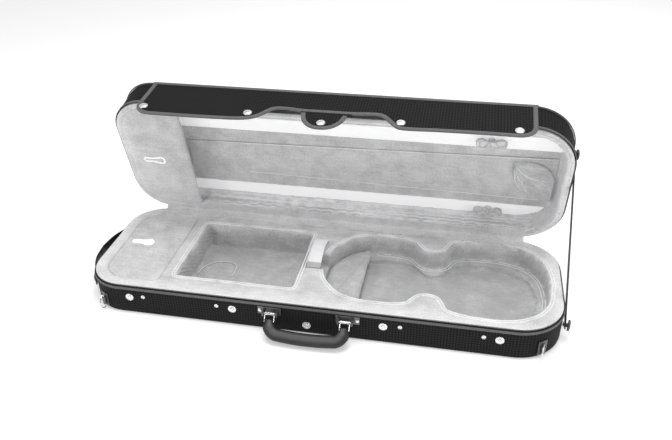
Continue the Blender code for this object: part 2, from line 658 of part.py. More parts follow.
def flap(lid):
    """Stiff cloth flap over the front joint, hinged along the lid's front edge, with its snap caps."""
    carrier = axis_empty("flap_axis", FLAP_AXIS, lid, -FLARE)
    bm = prism([(x, z) for x, z in flap_outline()], 0.0, FLAP_THICK)
    bm.transform(Matrix.Translation((0, FLAP_FACE, 0)) @ Matrix.Rotation(math.radians(90), 4, "X"))
    made = add("front_flap", bm, NYLON, carrier)
    for i, step in enumerate(SNAP_STEPS, 1):
        x = SNAP_X + step
        z = MIDDLE_SNAP_Z if step == 0 else SNAP_Z
        cut(made, rod((x, FLAP_FACE + 0.004, z), (x, FLAP_FACE - 0.006, z), 0.0040, 12), carrier)
        profile = [(0, 0), (0.0075, 0), (0.0073, 0.0008), (0.0055, 0.0021), (0, 0.0026)]
        place = (x, FLAP_FACE - FLAP_THICK - GAP, z)
        add(f"snap_cap_{i}", lathe(profile, place, (0, -1, 0), 16), CHROME, carrier)


def main():
    clear_scene()
    lid = axis_empty("lid_axis", HINGE, turn_x=-OPEN_ANGLE)
    base_tub()
    base_liner()
    bout_pad()
    neck_strap()
    covered_lid()
    front_hardware()
    handle()
    d_ring(-1, "left", 28, 28)
    d_ring(1, "right", 34, -44)
    end_handle()
    stay(lid)
    for number, x in ((1, -0.200), (2, 0.200)):
        hinge(number, x, lid)
    gusset()
    lid_tub(lid)
    lid_liner(lid)
    lid_panel(lid)
    bow_bands(lid)
    bow_spinner("bow_spinner_lower", 0.272, 0.097, lid)
    bow_spinner("bow_spinner_upper", 0.264, -0.063, lid)
    pockets(lid)
    flap(lid)


main()
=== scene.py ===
import math

import bpy
import numpy as np
from mathutils import Matrix, Vector


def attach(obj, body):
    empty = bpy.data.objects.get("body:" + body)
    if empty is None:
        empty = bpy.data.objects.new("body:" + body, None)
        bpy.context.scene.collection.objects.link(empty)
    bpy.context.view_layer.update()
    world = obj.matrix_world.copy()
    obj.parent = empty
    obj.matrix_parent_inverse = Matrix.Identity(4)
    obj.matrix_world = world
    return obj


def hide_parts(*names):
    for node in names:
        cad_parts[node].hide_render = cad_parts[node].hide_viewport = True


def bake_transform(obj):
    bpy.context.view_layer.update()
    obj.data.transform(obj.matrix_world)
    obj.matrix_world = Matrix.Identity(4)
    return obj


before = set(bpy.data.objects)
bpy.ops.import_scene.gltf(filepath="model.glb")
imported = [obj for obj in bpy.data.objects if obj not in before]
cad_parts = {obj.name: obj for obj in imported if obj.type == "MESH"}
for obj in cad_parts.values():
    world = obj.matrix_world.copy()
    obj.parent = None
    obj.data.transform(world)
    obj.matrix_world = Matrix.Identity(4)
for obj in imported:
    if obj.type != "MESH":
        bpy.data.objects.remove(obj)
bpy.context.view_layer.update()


# The room and the camera. A pale floor in soft light from a large panel overhead, a panel at
# each side and a white surround, seen from the front, a little to the right and well above.
bpy.ops.object.select_all(action="DESELECT")
bpy.ops.mesh.primitive_plane_add(size=14, location=(0, 0, -0.0003))
floor = bpy.context.object
floor.name = "floor"
floor_paint = bpy.data.materials.new("floor_paint")
floor_paint.use_nodes = True
floor_shader = floor_paint.node_tree.nodes["Principled BSDF"]
floor_shader.inputs["Base Color"].default_value = (0.93, 0.93, 0.93, 1)
floor_shader.inputs["Roughness"].default_value = 0.9
floor_shader.inputs["Emission Color"].default_value = (1, 1, 1, 1)
floor_shader.inputs["Emission Strength"].default_value = 0.30
floor.data.materials.append(floor_paint)

surround = bpy.data.worlds.new("surround")
surround.use_nodes = True
surround.node_tree.nodes["Background"].inputs["Color"].default_value = (1, 1, 1, 1)
surround.node_tree.nodes["Background"].inputs["Strength"].default_value = 0.50
bpy.context.scene.world = surround
bpy.context.scene.view_settings.view_transform = "Standard"

for lamp_name, lamp_place, lamp_size, lamp_power in (
    ("overhead_panel", (0.15, -0.15, 1.9), 1.1, 22.0),
    ("left_panel", (-1.7, -1.3, 1.1), 0.9, 9.0),
    ("right_panel", (1.8, -0.8, 0.8), 0.7, 7.0),
    ("back_panel", (0.6, 1.7, 1.5), 0.9, 5.0),
):
    lamp_data = bpy.data.lights.new(lamp_name, "AREA")
    lamp_data.size = lamp_size
    lamp_data.energy = lamp_power
    lamp = bpy.data.objects.new(lamp_name, lamp_data)
    lamp.location = lamp_place
    toward_case = Vector((0, 0, 0.1)) - Vector(lamp_place)
    lamp.rotation_euler = toward_case.to_track_quat("-Z", "Y").to_euler()
    bpy.context.collection.objects.link(lamp)

AZIMUTH, ELEVATION, ROLL = math.radians(11.67), math.radians(32.33), math.radians(-1.04)
camera_data = bpy.data.cameras.new("camera")
camera_data.lens = 36.96
camera = bpy.data.objects.new("camera", camera_data)
camera.location = (0.2172, -0.9596, 0.7676)
across = math.cos(ELEVATION)
sight = Vector((-math.sin(AZIMUTH) * across, math.cos(AZIMUTH) * across, -math.sin(ELEVATION)))
level_view = sight.to_track_quat("-Z", "Y").to_matrix()
camera.rotation_euler = (level_view @ Matrix.Rotation(ROLL, 3, "Z")).to_euler()
bpy.context.collection.objects.link(camera)
bpy.context.scene.camera = camera


# Base cover. Black woven nylon glued over the plywood tray, turned in over its rim and rounded
# round the bottom edge. The weave shows as a fine grid of lighter dots.
LENGTH, WIDTH, RIM = 0.800, 0.250, 0.060
LEFT_CORNER, RIGHT_CORNER = 0.064, 0.077
CLOTH = 0.0012
FRONT = -WIDTH / 2


class Wire:
    """A socket of a material, with arithmetic on it that adds the Math nodes."""

    def __init__(self, tree, socket):
        self.tree = tree
        self.socket = socket

    def add(self, kind, inputs, out=0, **settings):
        made = self.tree.nodes.new("ShaderNode" + kind)
        for setting, value in settings.items():
            setattr(made, setting, value)
        for key, value in inputs.items():
            if isinstance(value, Wire):
                self.tree.links.new(value.socket, made.inputs[key])
            else:
                made.inputs[key].default_value = value
        return Wire(self.tree, made.outputs[out])

    def maths(self, operation, first, second=0.0):
        return self.add("Math", {0: first, 1: second}, operation=operation)

    def __add__(self, other):
        return self.maths("ADD", self, other)

    def __sub__(self, other):
        return self.maths("SUBTRACT", self, other)

    def __rsub__(self, other):
        return self.maths("SUBTRACT", other, self)

    def __mul__(self, other):
        return self.maths("MULTIPLY", self, other)

    __radd__ = __add__
    __rmul__ = __mul__

    def wave(self, pitch):
        """A wave from 0 to 1 with that distance between its crests."""
        return self.maths("SINE", self * (math.tau / pitch)) * 0.5 + 0.5

    def over(self, edge, softness=0.1):
        """0 below the edge and 1 above it, with a soft step between."""
        inputs = {"Value": self, "From Min": edge - softness, "From Max": edge + softness}
        return self.add("MapRange", inputs, interpolation_type="SMOOTHSTEP")

    def speckle(self, size, detail=2.0):
        """Noise from 0 to 1 whose grains are about that size, on a vector socket."""
        return self.add("TexNoise", {"Vector": self, "Scale": 1 / size, "Detail": detail})

    def axis(self, number):
        return self.add("SeparateXYZ", {0: self}, out=number)

    def tint(self, low, high):
        """The colour between two greys that this factor picks."""
        greys = {6: (low, low, low * 1.01, 1), 7: (high, high, high * 1.01, 1)}
        return self.add("Mix", {0: self, **greys}, out=2, data_type="RGBA")


def begin_finish(name, **constants):
    """A new material: itself, its shader, its place on the piece and its place on the cloth."""
    made = bpy.data.materials.new(name)
    made.use_nodes = True
    shader = made.node_tree.nodes["Principled BSDF"]
    for key, value in constants.items():
        shader.inputs[key.replace("_", " ").title().replace("Ior", "IOR")].default_value = value
    coords = made.node_tree.nodes.new("ShaderNodeTexCoord")
    place = Wire(made.node_tree, coords.outputs["Object"])
    cloth = Wire(made.node_tree, coords.outputs["UV"])
    return made, shader, place, cloth


def settle(made, shader, colour=None, roughness=None, height=None, depth=0.0005):
    """Joins what varies over the surface to the shader; height is lifted by depth in metres."""
    links = made.node_tree.links
    if colour is not None:
        links.new(colour.socket, shader.inputs["Base Color"])
    if roughness is not None:
        links.new(roughness.socket, shader.inputs["Roughness"])
    if height is not None:
        bump = height.add("Bump", {"Height": height, "Distance": depth, "Strength": 1.0})
        links.new(bump.socket, shader.inputs["Normal"])
    return made


def woven_nylon():
    made, shader, place, cloth = begin_finish("woven_nylon", specular_ior_level=0.12)
    u, v = cloth.axis(0), cloth.axis(1)
    grid = (u.wave(0.0048) * v.wave(0.0048)).over(0.45, 0.30)
    weave = u.wave(0.0015) * v.wave(0.0015)
    dust = place.speckle(0.012, 4)
    yarn = place.speckle(0.0011, 2)
    colour = (grid * 0.8 + weave * 0.2 + yarn * 0.2 + dust * 0.15).tint(0.001, 0.030)
    raised = grid * 0.6 + weave + yarn * 0.4
    return settle(made, shader, colour, 0.62 + grid * 0.12 + dust * 0.1, raised, 0.00035)


def arc(centre, radius, start, end, steps):
    turns = [math.radians(start + (end - start) * i / steps) for i in range(steps + 1)]
    return [(centre[0] + radius * math.cos(t), centre[1] + radius * math.sin(t)) for t in turns]


def plan(inset, steps=14, x_from=None, x_to=None):
    """The case's plan drawn in by inset, cut off at x_from or x_to, with extra corners along its sides."""
    half_l, half_w = LENGTH / 2 - inset, WIDTH / 2 - inset
    points = []
    for sign_x, sign_y, start in ((1, 1, 0), (-1, 1, 90), (-1, -1, 180), (1, -1, 270)):
        radius = (RIGHT_CORNER if sign_x > 0 else LEFT_CORNER) - inset
        centre = (sign_x * (half_l - radius), sign_y * (half_w - radius))
        points += arc(centre, radius, start, start + 90, steps)
    if x_from is not None:
        points = clip(points, x_from, 1)
    if x_to is not None:
        points = clip(points, x_to, -1)
    return points


def clip(points, limit, side, axis=0):
    """The part of a convex outline where side * x is at least side * limit; axis 1 clips in y."""
    kept = []
    for here, there in zip(points, points[1:] + points[:1]):
        inside = side * here[axis] >= side * limit
        if inside:
            kept.append(here)
        if inside != (side * there[axis] >= side * limit):
            share = (limit - here[axis]) / (there[axis] - here[axis])
            kept.append(tuple(a + share * (b - a) for a, b in zip(here, there)))
    return kept


def draw_up(name, rings, closed=False, angle=40):
    """A skin drawn up ring by ring: a circle is extruded once for each ring, and each ring is then
    set to its own outline. closed joins the last ring to the first, and otherwise both ends are
    capped. Its UVs are metres of cloth."""
    bpy.ops.object.select_all(action="DESELECT")
    count = len(rings[0])
    bpy.ops.mesh.primitive_circle_add(vertices=count, fill_type="NOTHING")
    piece = bpy.context.object
    piece.name = piece.data.name = name
    bpy.ops.object.mode_set(mode="EDIT")
    bpy.ops.mesh.select_all(action="SELECT")
    rings = [[Vector(p) for p in ring] for ring in rings]
    if closed:
        rings = rings + [rings[0]]
    for _ in rings[1:]:
        bpy.ops.mesh.extrude_edges_move()
    bpy.ops.object.mode_set(mode="OBJECT")
    mesh = piece.data
    mesh.vertices.foreach_set("co", [c for ring in rings for p in ring for c in p])
    round_way = [0.0]
    for here, there in zip(rings[0], rings[0][1:] + rings[0][:1]):
        round_way.append(round_way[-1] + (there - here).length)
    up_way = [0.0]
    for here, there in zip(rings, rings[1:]):
        up_way.append(up_way[-1] + max((b - a).length for a, b in zip(here, there)))
    for blank in list(mesh.uv_layers):
        mesh.uv_layers.remove(blank)
    layer = mesh.uv_layers.new(name="cloth")
    for face in mesh.polygons:
        corners = [mesh.loops[i].vertex_index for i in face.loop_indices]
        wraps = max(c % count for c in corners) - min(c % count for c in corners) > 1
        for i, corner in zip(face.loop_indices, corners):
            step = corner % count
            along = round_way[count if wraps and step == 0 else step]
            layer.data[i].uv = (along, up_way[corner // count])
    bpy.ops.object.mode_set(mode="EDIT")
    if not closed:
        for ring in (0, len(rings) - 1):
            bpy.ops.mesh.select_all(action="DESELECT")
            bpy.ops.object.mode_set(mode="OBJECT")
            for i in range(count):
                mesh.vertices[ring * count + i].select = True
            bpy.ops.object.mode_set(mode="EDIT")
            bpy.ops.mesh.edge_face_add()
    bpy.ops.mesh.select_all(action="SELECT")
    bpy.ops.mesh.remove_doubles(threshold=0.000002)
    bpy.ops.mesh.normals_make_consistent(inside=False)
    bpy.ops.object.mode_set(mode="OBJECT")
    smooth(piece, angle)
    return piece


def take(piece):
    """Makes a piece the one that Blender's tools work on."""
    bpy.ops.object.select_all(action="DESELECT")
    piece.select_set(True)
    bpy.context.view_layer.objects.active = piece


def smooth(piece, angle):
    take(piece)
    bpy.ops.object.shade_smooth_by_angle(angle=math.radians(angle))


def change(piece, kind, **settings):
    """Adds one modifier and applies it."""
    take(piece)
    modifier = piece.modifiers.new("change", kind)
    for setting, value in settings.items():
        setattr(modifier, setting, value)
    bpy.ops.object.modifier_apply(modifier=modifier.name)


def fit(piece, finish, body, nodes, opened=None):
    """Dresses a piece, turns it to where it stands, and makes it ride and stand for its CAD nodes."""
    if finish:
        piece.data.materials.clear()
        piece.data.materials.append(finish)
    if opened:
        piece.data.transform(opened)
    if body:
        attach(piece, body)
    if nodes:
        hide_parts(*nodes)
    return piece


def level(outline, height):
    return [(x, y, height) for x, y in outline]


def round_case(name, sizes, closed=False, angle=50):
    """A skin that follows the case's plan, drawn up through each (inset, height) in turn."""
    rings = [level(plan(inset), height) for inset, height in sizes]
    return draw_up(name, rings, closed=closed, angle=angle)


inner_wall = [(0.0090, CLOTH), (0.0045, CLOTH), (0.0025, 0.0020), (CLOTH, 0.0060), (CLOTH, 0.0570)]
turned_edge = [(0.0009, 0.0577), (0.0003, 0.0577), (0.0, 0.0570)]
outer_wall = [(0.0, 0.0440), (0.0, 0.0250), (0.0, 0.0062)]
rounded_foot = [(0.0006, 0.0034), (0.0018, 0.0016), (0.0034, 0.0005), (0.0062, 0.0)]
TRAY_PROFILE = inner_wall + turned_edge + outer_wall + rounded_foot
nylon = woven_nylon()
base_outside = round_case("base_outside", TRAY_PROFILE)
fit(base_outside, nylon, "base", ["base_cover"])


# Base edge tape. Grey ribbed tape sewn round the base just under its rim, with a groove where
# each edge is sewn.
def ribbed_tape():
    made, shader, place, cloth = begin_finish("ribbed_tape", sheen_weight=0.08, specular_ior_level=0.3)
    u = cloth.axis(0)
    rib = u.wave(0.0016)
    wear = place.speckle(0.008, 3)
    colour = (rib * 0.45 + wear * 0.5).tint(0.045, 0.195)
    return settle(made, shader, colour, 0.5 + wear * 0.25, rib + wear * 0.3, 0.0003)


def tape_ring(name, low, high, proud=0.0016):
    """A band round the case with rounded edges and two sewn grooves."""
    tall = high - low
    section = [(0.0, 0.0), (-0.6, 0.0), (-0.95, 0.10), (-0.80, 0.20), (-1.0, 0.34), (-1.0, 0.66)]
    section += [(-0.80, 0.80), (-0.95, 0.90), (-0.6, 1.0), (0.0, 1.0)]
    sizes = [(across * (proud - 0.0003) - 0.0003, low + along * tall) for across, along in section]
    return round_case(name, sizes, closed=True, angle=60)


tape = ribbed_tape()
fit(tape_ring("base_edge_tape", 0.0503, 0.0552), tape, "base", ["base_binding"])


# Plywood shells. Both trays are thin bent plywood, hidden between cover and lining.
def raw_plywood():
    made, shader, place, cloth = begin_finish("raw_plywood")
    grain = place.add("Mapping", {"Vector": place, "Scale": (1.0, 14.0, 14.0)}).speckle(0.06, 4)
    colour = grain.tint(0.22, 0.5)
    return settle(made, shader, colour, 0.6 + grain * 0.2, grain, 0.0003)


def face_with(finish, *nodes):
    """Gives parts that already have their real shape their finish."""
    for node in nodes:
        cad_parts[node].data.materials.clear()
        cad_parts[node].data.materials.append(finish)


face_with(raw_plywood(), "base_shell", "lid_shell")


# Base lining. Silver-grey velour over a cut foam block, rolled over the edge of every hollow,
# with pleats where the cloth turns in at the violin's end and creases in the open compartment.
OPEN_ANGLE = 76
HINGE = Vector((0.0, WIDTH / 2 + 0.0025, RIM))
CAVITY_END = 0.381
COMPARTMENT_LEFT, COMPARTMENT_RIGHT, COMPARTMENT_HALF = -0.2465, -0.0415, 0.0815


def velour(name, dark=0.40, light=0.86, creased=False):
    """Brushed pile, with a painted highlight along the case's rim and painted shade low in the base.
    creased is for the open lid:
    its rim is looked for in the shut position, and its lowest wall gets long creases, bumped and painted
    in as lines of shade and highlight."""
    sheen = {"sheen_weight": 0.45, "sheen_roughness": 0.4, "specular_ior_level": 0.2}
    made, shader, place, cloth = begin_finish(name, **sheen)
    brushed = place.speckle(0.030, 3)
    streak = place.add("Mapping", {"Vector": place, "Scale": (0.5, 2.0, 2.0)}).speckle(0.010, 3)
    pile = place.speckle(0.0020, 4)
    mottle_and_painted_light = brushed * 0.45 + streak * 0.25 + pile * 0.60
    upright = place
    if creased:
        back = math.radians(OPEN_ANGLE)
        shift = HINGE - Matrix.Rotation(back, 3, "X") @ HINGE
        upright = place.add("Mapping", {"Vector": place, "Location": shift, "Rotation": (back, 0, 0)})
    along = place.maths("ABSOLUTE", upright.axis(0))
    over = place.maths("ABSOLUTE", upright.axis(1))
    # Painted highlight on the rolled rims, lighter near the case's edge, and painted shade low in the
    # hollows, darker below 45 mm.
    rim = place.maths("MAXIMUM", along - 0.380, over - 0.105).over(0.0, 0.014)
    hollow_shade = 1 - upright.axis(2).over(0.045, 0.012)
    mottle_and_painted_light = mottle_and_painted_light + rim * 0.16 - hollow_shade * 0.15
    if creased:
        # The lid's low creases are painted into the colour as dark and light lines, painted shade and
        # highlight, and are bumped as well.
        low_down = 1 - place.axis(2).over(0.086, 0.010)
        drawn_out = place.add("Mapping", {"Vector": place, "Scale": (0.025, 1.0, 1.0)})
        lines = drawn_out.speckle(0.0042, 3)
        mottle_and_painted_light = mottle_and_painted_light + (lines - 0.5) * low_down * 1.7
        pile = pile + lines * low_down * 1.1
    colour = mottle_and_painted_light.over(0.70, 0.40).tint(dark, light)
    return settle(made, shader, colour, 0.85 + pile * 0.1, pile * 1.0 + streak * 0.8, 0.0010)


def places(piece):
    co = np.empty(len(piece.data.vertices) * 3)
    piece.data.vertices.foreach_get("co", co)
    return co.reshape(-1, 3)


def put(piece, co):
    piece.data.vertices.foreach_set("co", np.ascontiguousarray(co, np.float32).ravel())
    piece.data.update()


def faced(piece):
    """The outward direction at each point."""
    found = np.empty(len(piece.data.vertices) * 3, np.float32)
    piece.data.vertex_normals.foreach_get("vector", found)
    return found.reshape(-1, 3)


def swell(piece, lift):
    """Moves a skin out along its own outward direction by lift."""
    put(piece, places(piece) + faced(piece) * lift[:, None])


def upholster(name, node, closed_again=None):
    """Velour over a foam block: a copy of it is remeshed finely and its edges are rolled soft."""
    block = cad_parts[node].copy()
    block.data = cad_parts[node].data.copy()
    for key in list(block.keys()):
        del block[key]
    block.parent = None
    block.name = block.data.name = name
    bpy.context.collection.objects.link(block)
    if closed_again:
        block.data.transform(closed_again)
    take(block)
    bpy.ops.object.mode_set(mode="EDIT")
    bpy.ops.mesh.select_all(action="SELECT")
    bpy.ops.mesh.remove_doubles(threshold=0.00001)
    bpy.ops.object.mode_set(mode="OBJECT")
    change(block, "REMESH", mode="VOXEL", voxel_size=0.0030, use_smooth_shade=True)
    change(block, "SMOOTH", factor=0.5, iterations=4)
    return block


def ripple(co, pitch, seed):
    """A slow uneven swell over the cloth, the same on every run."""
    turns = np.random.default_rng(seed).uniform(0, math.tau, 9)
    total = np.zeros(len(co))
    for i in range(3):
        for j, way in enumerate(((1, 0.3, 0.2), (-0.4, 1, 0.5), (0.7, -0.8, 1))):
            size = pitch * (0.6 + 0.35 * i)
            total += np.sin(co @ np.array(way) * math.tau / size + turns[3 * i + j])
    return total / 5


silver = velour("silver_velour")
base_plush = upholster("base_plush", "base_liner")
co, out = places(base_plush), faced(base_plush)
wall = np.clip(1.4 - 2 * np.abs(out[:, 2]), 0, 1) * (co[:, 2] > 0.011) * (np.abs(co[:, 1]) < 0.112)
end_wall = wall * np.clip((co[:, 0] - 0.300) / 0.03, 0, 1) * (co[:, 0] < 0.388)
around = np.arctan2(co[:, 1], co[:, 0] - 0.29)
left_wall = wall * (co[:, 0] < -0.235) * (co[:, 0] > -0.255)
lift = 0.0007 * ripple(co, 0.045, 3)
lift += 0.0014 * end_wall * np.sin(around * 26)
slanted = (co[:, 1] + 1.6 * co[:, 2]) * math.tau / 0.013
lift += 0.0012 * left_wall * np.sin(slanted + 2 * np.sin(co[:, 1] * 40))
lift += 0.0008 * wall * np.sin(co[:, 0] * math.tau / 0.031 + co[:, 1] * 60)
lift *= (co[:, 2] > 0.0085) * (np.abs(co[:, 1]) < 0.116)
swell(base_plush, lift)
fit(base_plush, silver, "base", ["base_liner"])


# Base rim roll and hollow piping. The velour is rolled over the plywood's edge, and two cords
# are sewn side by side under it round the violin hollow and round the open compartment.
def rim_roll(name, height, up):
    """A soft roll along the rim, from the cover's edge to the lining."""
    section = []
    for i in range(12):
        turn = math.tau * i / 12
        section.append((0.0052 - 0.0035 * math.cos(turn), height + up * 0.0012 * math.sin(turn)))
    return round_case(name, section, closed=True, angle=180)


def spline(points, per_span):
    """A smooth curve through points, ends included."""
    ends = [points[0], *points, points[-1]]
    found = []
    for i in range(1, len(ends) - 2):
        a, b, c, d = (Vector(ends[i + k]) for k in (-1, 0, 1, 2))
        for step in range(per_span):
            t = step / per_span
            bend, twist = 2 * a - 5 * b + 4 * c - d, 3 * b - a - 3 * c + d
            found.append(tuple((2 * b + (c - a) * t + bend * t**2 + twist * t**3) / 2))
    return found + [tuple(points[-1])]


def cavity_half(grow):
    """Half the violin hollow's outline from the neck to the end button, as x and half width."""
    upper = [(0.0, 0.020), (0.012, 0.050), (0.042, 0.082), (0.085, 0.092), (0.125, 0.0905), (0.148, 0.085)]
    waist = [(0.148, 0.085), (0.163, 0.064), (0.185, 0.058), (0.204, 0.067), (0.217, 0.094)]
    lower = [(0.217, 0.094), (0.250, 0.1025), (0.300, 0.104), (0.345, 0.089), (0.372, 0.055)]
    points = spline(upper, 6) + spline(waist, 5)[1:] + spline([*lower, (CAVITY_END, 0.0)], 6)[1:]
    return offset([(x, -w) for x, w in points], grow)


def offset(points, grow):
    """An outline moved out to the right of its own direction."""
    moved = []
    for i, here in enumerate(points):
        before, after = Vector(points[max(i - 1, 0)]), Vector(points[min(i + 1, len(points) - 1)])
        ahead = (after - before).normalized()
        moved.append((here[0] + grow * ahead.y, here[1] - grow * ahead.x))
    return moved


def sweep(name, path, section, closed=False, up=(0, 0, 1)):
    """A section carried along a path: it gives the (across, up) points at a share of the way."""
    path = [Vector(p) for p in path]
    up = Vector(up)
    count = len(path)
    rings = []
    for i, place in enumerate(path):
        before = path[i - 1] if closed or i else place
        after = path[(i + 1) % count] if closed or i < count - 1 else place
        across = (after - before).normalized().cross(up).normalized()
        lean = across.cross((after - before).normalized())
        rings.append([place + across * a + lean * u for a, u in section(i / (count - 1))])
    return draw_up(name, rings, closed=closed, angle=60)


def oval(width, height):
    turns = [math.tau * i / 8 for i in range(8)]
    return [(width / 2 * math.cos(t), height / 2 * math.sin(t)) for t in turns]


def even(points, step):
    """The same line with its points spaced evenly and its corners eased."""
    found, ahead = [Vector(points[0])], step
    for here, there in zip(points, points[1:]):
        here, there = Vector(here), Vector(there)
        length = (there - here).length
        while ahead <= length:
            found.append(here.lerp(there, ahead / length))
            ahead += step
        ahead -= length
    for _ in range(3):
        eased = [(a + 2 * b + c) / 4 for a, b, c in zip(found, found[1:], found[2:])]
        found = [found[0], *eased, found[-1]]
    return [tuple(p) for p in found]


fit(rim_roll("base_rim_roll", 0.0590, 1), silver, "base", [])
# The cords and folds wear a lighter copy of the same velour: a painted highlight on their raised crests.
highlight_velour = velour("piping_velour_highlight", 0.70, 0.97)


def cord(name, path, width, height, closed=False, body="base", opened=None):
    """A cord under the velour, of one thickness all along its path, in the lighter velour that paints a
    highlight on it.
    """
    made = sweep(name, path, lambda share: oval(width, height), closed=closed)
    return fit(made, highlight_velour, body, [], opened)


PIPING, PIPING_LEVEL = 0.0026, 0.0593
for number, grow in enumerate((0.0035, 0.0078), 1):
    near = [p for p in cavity_half(grow) if p[1] < -0.0235 or p[0] > 0.2]
    path = near + [(x, -y) for x, y in reversed(near[:-1])]
    cord(f"hollow_piping_{number}", level(path, PIPING_LEVEL), PIPING, PIPING)
    corner = 0.004 + grow
    left, right = COMPARTMENT_LEFT - grow + corner, COMPARTMENT_RIGHT + grow - corner
    half = COMPARTMENT_HALF + grow - corner
    path = []
    for x, y, start in ((left, -half, 180), (right, -half, 270), (right, half, 0), (left, half, 90)):
        path += arc((x, y), corner, start, start + 90, 5)
    cord(f"compartment_piping_{number}", level(path, PIPING_LEVEL), PIPING, PIPING, closed=True)

seam = [(-0.2400, -0.0120), (-0.2369, 0.0066), (-0.2239, 0.0248), (-0.2038, 0.0327)]
seam += [(-0.1770, 0.0260), (-0.1741, 0.0019), (-0.1753, -0.0136)]
COMPARTMENT_FLOOR = 0.0110
cord("compartment_seam", level(even(spline(seam, 6), 0.004), COMPARTMENT_FLOOR), 0.0020, 0.0016)
for number, (grow, z) in enumerate(((-0.0028, 0.0232), (-0.0075, 0.0226)), 1):
    far = [(x, -y) for x, y in cavity_half(grow) if x > 0.074]
    near = [(x, y) for x, y in reversed(cavity_half(grow)[:-1]) if x > 0.074]
    cord(f"floor_seam_{number}", level(even(far + near, 0.004), z), 0.0018, 0.0016)


# Upper bout pad. A filled velour cushion that carries the top of the violin's back, with a
# fold across it and a straight rolled edge on its right.
def plump(piece, fineness, most, pinned=None):
    """Fills a sewn shape: its skin is remeshed and blown out as cloth, by no more than most."""
    change(piece, "REMESH", mode="VOXEL", voxel_size=fineness, use_smooth_shade=True)
    start = places(piece)
    filling = piece.modifiers.new("filling", "CLOTH")
    filling.settings.use_pressure = True
    filling.settings.uniform_pressure_force = 4.0
    filling.settings.effector_weights.gravity = 0
    for step in range(1, 21):
        bpy.context.scene.frame_set(step)
    graph = bpy.context.evaluated_depsgraph_get()
    filled = piece.evaluated_get(graph).to_mesh()
    end = np.empty(len(filled.vertices) * 3)
    filled.vertices.foreach_get("co", end)
    piece.evaluated_get(graph).to_mesh_clear()
    piece.modifiers.remove(filling)
    bpy.context.scene.frame_set(1)
    move = end.reshape(-1, 3) - start
    far = np.linalg.norm(move, axis=1, keepdims=True)
    move *= np.minimum(1, most / np.maximum(far, 1e-9))
    if pinned is not None:
        move *= pinned(start)[:, None]
    put(piece, start + move)
    change(piece, "SMOOTH", factor=0.5, iterations=3)
    change(piece, "SUBSURF", levels=1, render_levels=1)
    smooth(piece, 180)


PAD_END, PAD_LOW, PAD_TOP = 0.0690, 0.0225, 0.0325
half = [(x, y) for x, y in cavity_half(-0.0030) if x < PAD_END - 0.002]
half += [(PAD_END, -0.083), (PAD_END, -0.0415)]
outline = half + [(PAD_END, 0.0)] + [(x, -y) for x, y in reversed(half)]
rings = [level(outline, height) for height in (PAD_LOW, PAD_LOW + 0.005, PAD_TOP)]
bout_cushion = draw_up("bout_cushion", rings)
plump(bout_cushion, 0.0030, 0.0022)
co, out = places(bout_cushion), faced(bout_cushion)
fold = np.abs((co[:, 0] - 0.040) - 0.35 * co[:, 1])
lift = 0.0006 * ripple(co, 0.04, 8) - 0.0016 * np.exp(-((fold / 0.0028) ** 2)) * (out[:, 2] > 0.3)
swell(bout_cushion, lift)
fit(bout_cushion, silver, "base", ["bout_pad"])


# Compartment lid. A board under thin padding and velour, hinged along its right edge over the
# covered compartment, lifted by a flat tab of white satin sewn to it.
def centre_of(outline):
    return sum((Vector(p) for p in outline), Vector((0, 0))) / len(outline)


def board_cushion(name, outline, low, high, crown):
    """A padded board: flat below, and drawn up by its sewn edge to a soft crown above."""
    middle = centre_of(outline)
    rings = []
    for share, rise in ((1.0, 0.0), (1.0, 0.55), (0.985, 0.9), (0.955, 1.0), (0.80, 1.0), (0.45, 1.0)):
        ring = [middle + (Vector(p) - middle) * share for p in outline]
        rings.append(level([tuple(p) for p in ring], low + (high - low) * rise + crown * (1 - share)))
    return draw_up(name, rings, angle=60)


def tape_loop(name, path, widths, thick):
    """A folded tape, of a width that changes from its left end to its right."""
    def section(share):
        w = (widths[0] + (widths[1] - widths[0]) * share) / 2
        t = thick / 2
        top = [(w, -t * 0.4), (w, t * 0.4), (w * 0.92, t), (0, t * 0.75), (-w * 0.92, t)]
        return top + [(-a, -b) for a, b in top]
    return sweep(name, path, section)


def white_satin():
    # The satin is given a faint glow of its own, painted light that keeps it bright.
    painted_glow = {"emission_color": (1, 1, 1, 1), "emission_strength": 0.26}
    made, shader, place, cloth = begin_finish("white_satin", sheen_weight=0.3, **painted_glow)
    thread = cloth.axis(0).wave(0.0009)
    crease = place.add("Mapping", {"Vector": place, "Scale": (0.35, 1.6, 1.6)}).speckle(0.012, 3)
    # The crease noise also darkens the colour, as painted shade in the creases, besides its bump.
    colour = (thread * 0.1 + crease * 0.9).tint(0.82, 0.98)
    return settle(made, shader, colour, 0.40 + crease * 0.2, thread * 0.1 + crease, 0.0003)


satin = white_satin()
outline = plan(0.0210, x_to=-0.2708)
compartment_cushion = board_cushion("compartment_cushion", outline, 0.0525, 0.0580, 0.0003)
plump(compartment_cushion, 0.0032, 0.0004, lambda co: (co[:, 2] > 0.054).astype(float))
swell(compartment_cushion, 0.0002 * ripple(places(compartment_cushion), 0.05, 5))
fit(compartment_cushion, silver, "compartment_lid", ["accessory_lid"])


def pull_tab(name, right, left, middle, low, high, widths):
    """A flat tab with a round wide right end and a narrow left end."""
    wide, narrow = widths[0] / 2, widths[1] / 2
    outline = arc((right - wide, middle), wide, -115, 115, 14)
    neck = left + 0.020
    outline += [(neck, middle + narrow), *arc((left + narrow, middle), narrow, 100, 260, 8)]
    outline.append((neck, middle - narrow))
    rings = []
    edge = ((0.0, 0.0), (0.0, 0.6), (0.0005, 1.0), (0.0016, 1.0))
    stitching = ((0.0021, 0.75), (0.0027, 0.75), (0.0032, 0.95))
    for inset, rise in edge + stitching:
        rings.append(level(offset(outline, -inset), low + (high - low) * rise))
    return draw_up(name, rings, angle=50)


tab_sizes = (-0.3235, -0.3665, 0.0035, 0.0588, 0.0598, (0.0195, 0.0125))
compartment_tab = pull_tab("compartment_tab", *tab_sizes)
fit(compartment_tab, satin, "compartment_lid", ["accessory_lid_tab"])
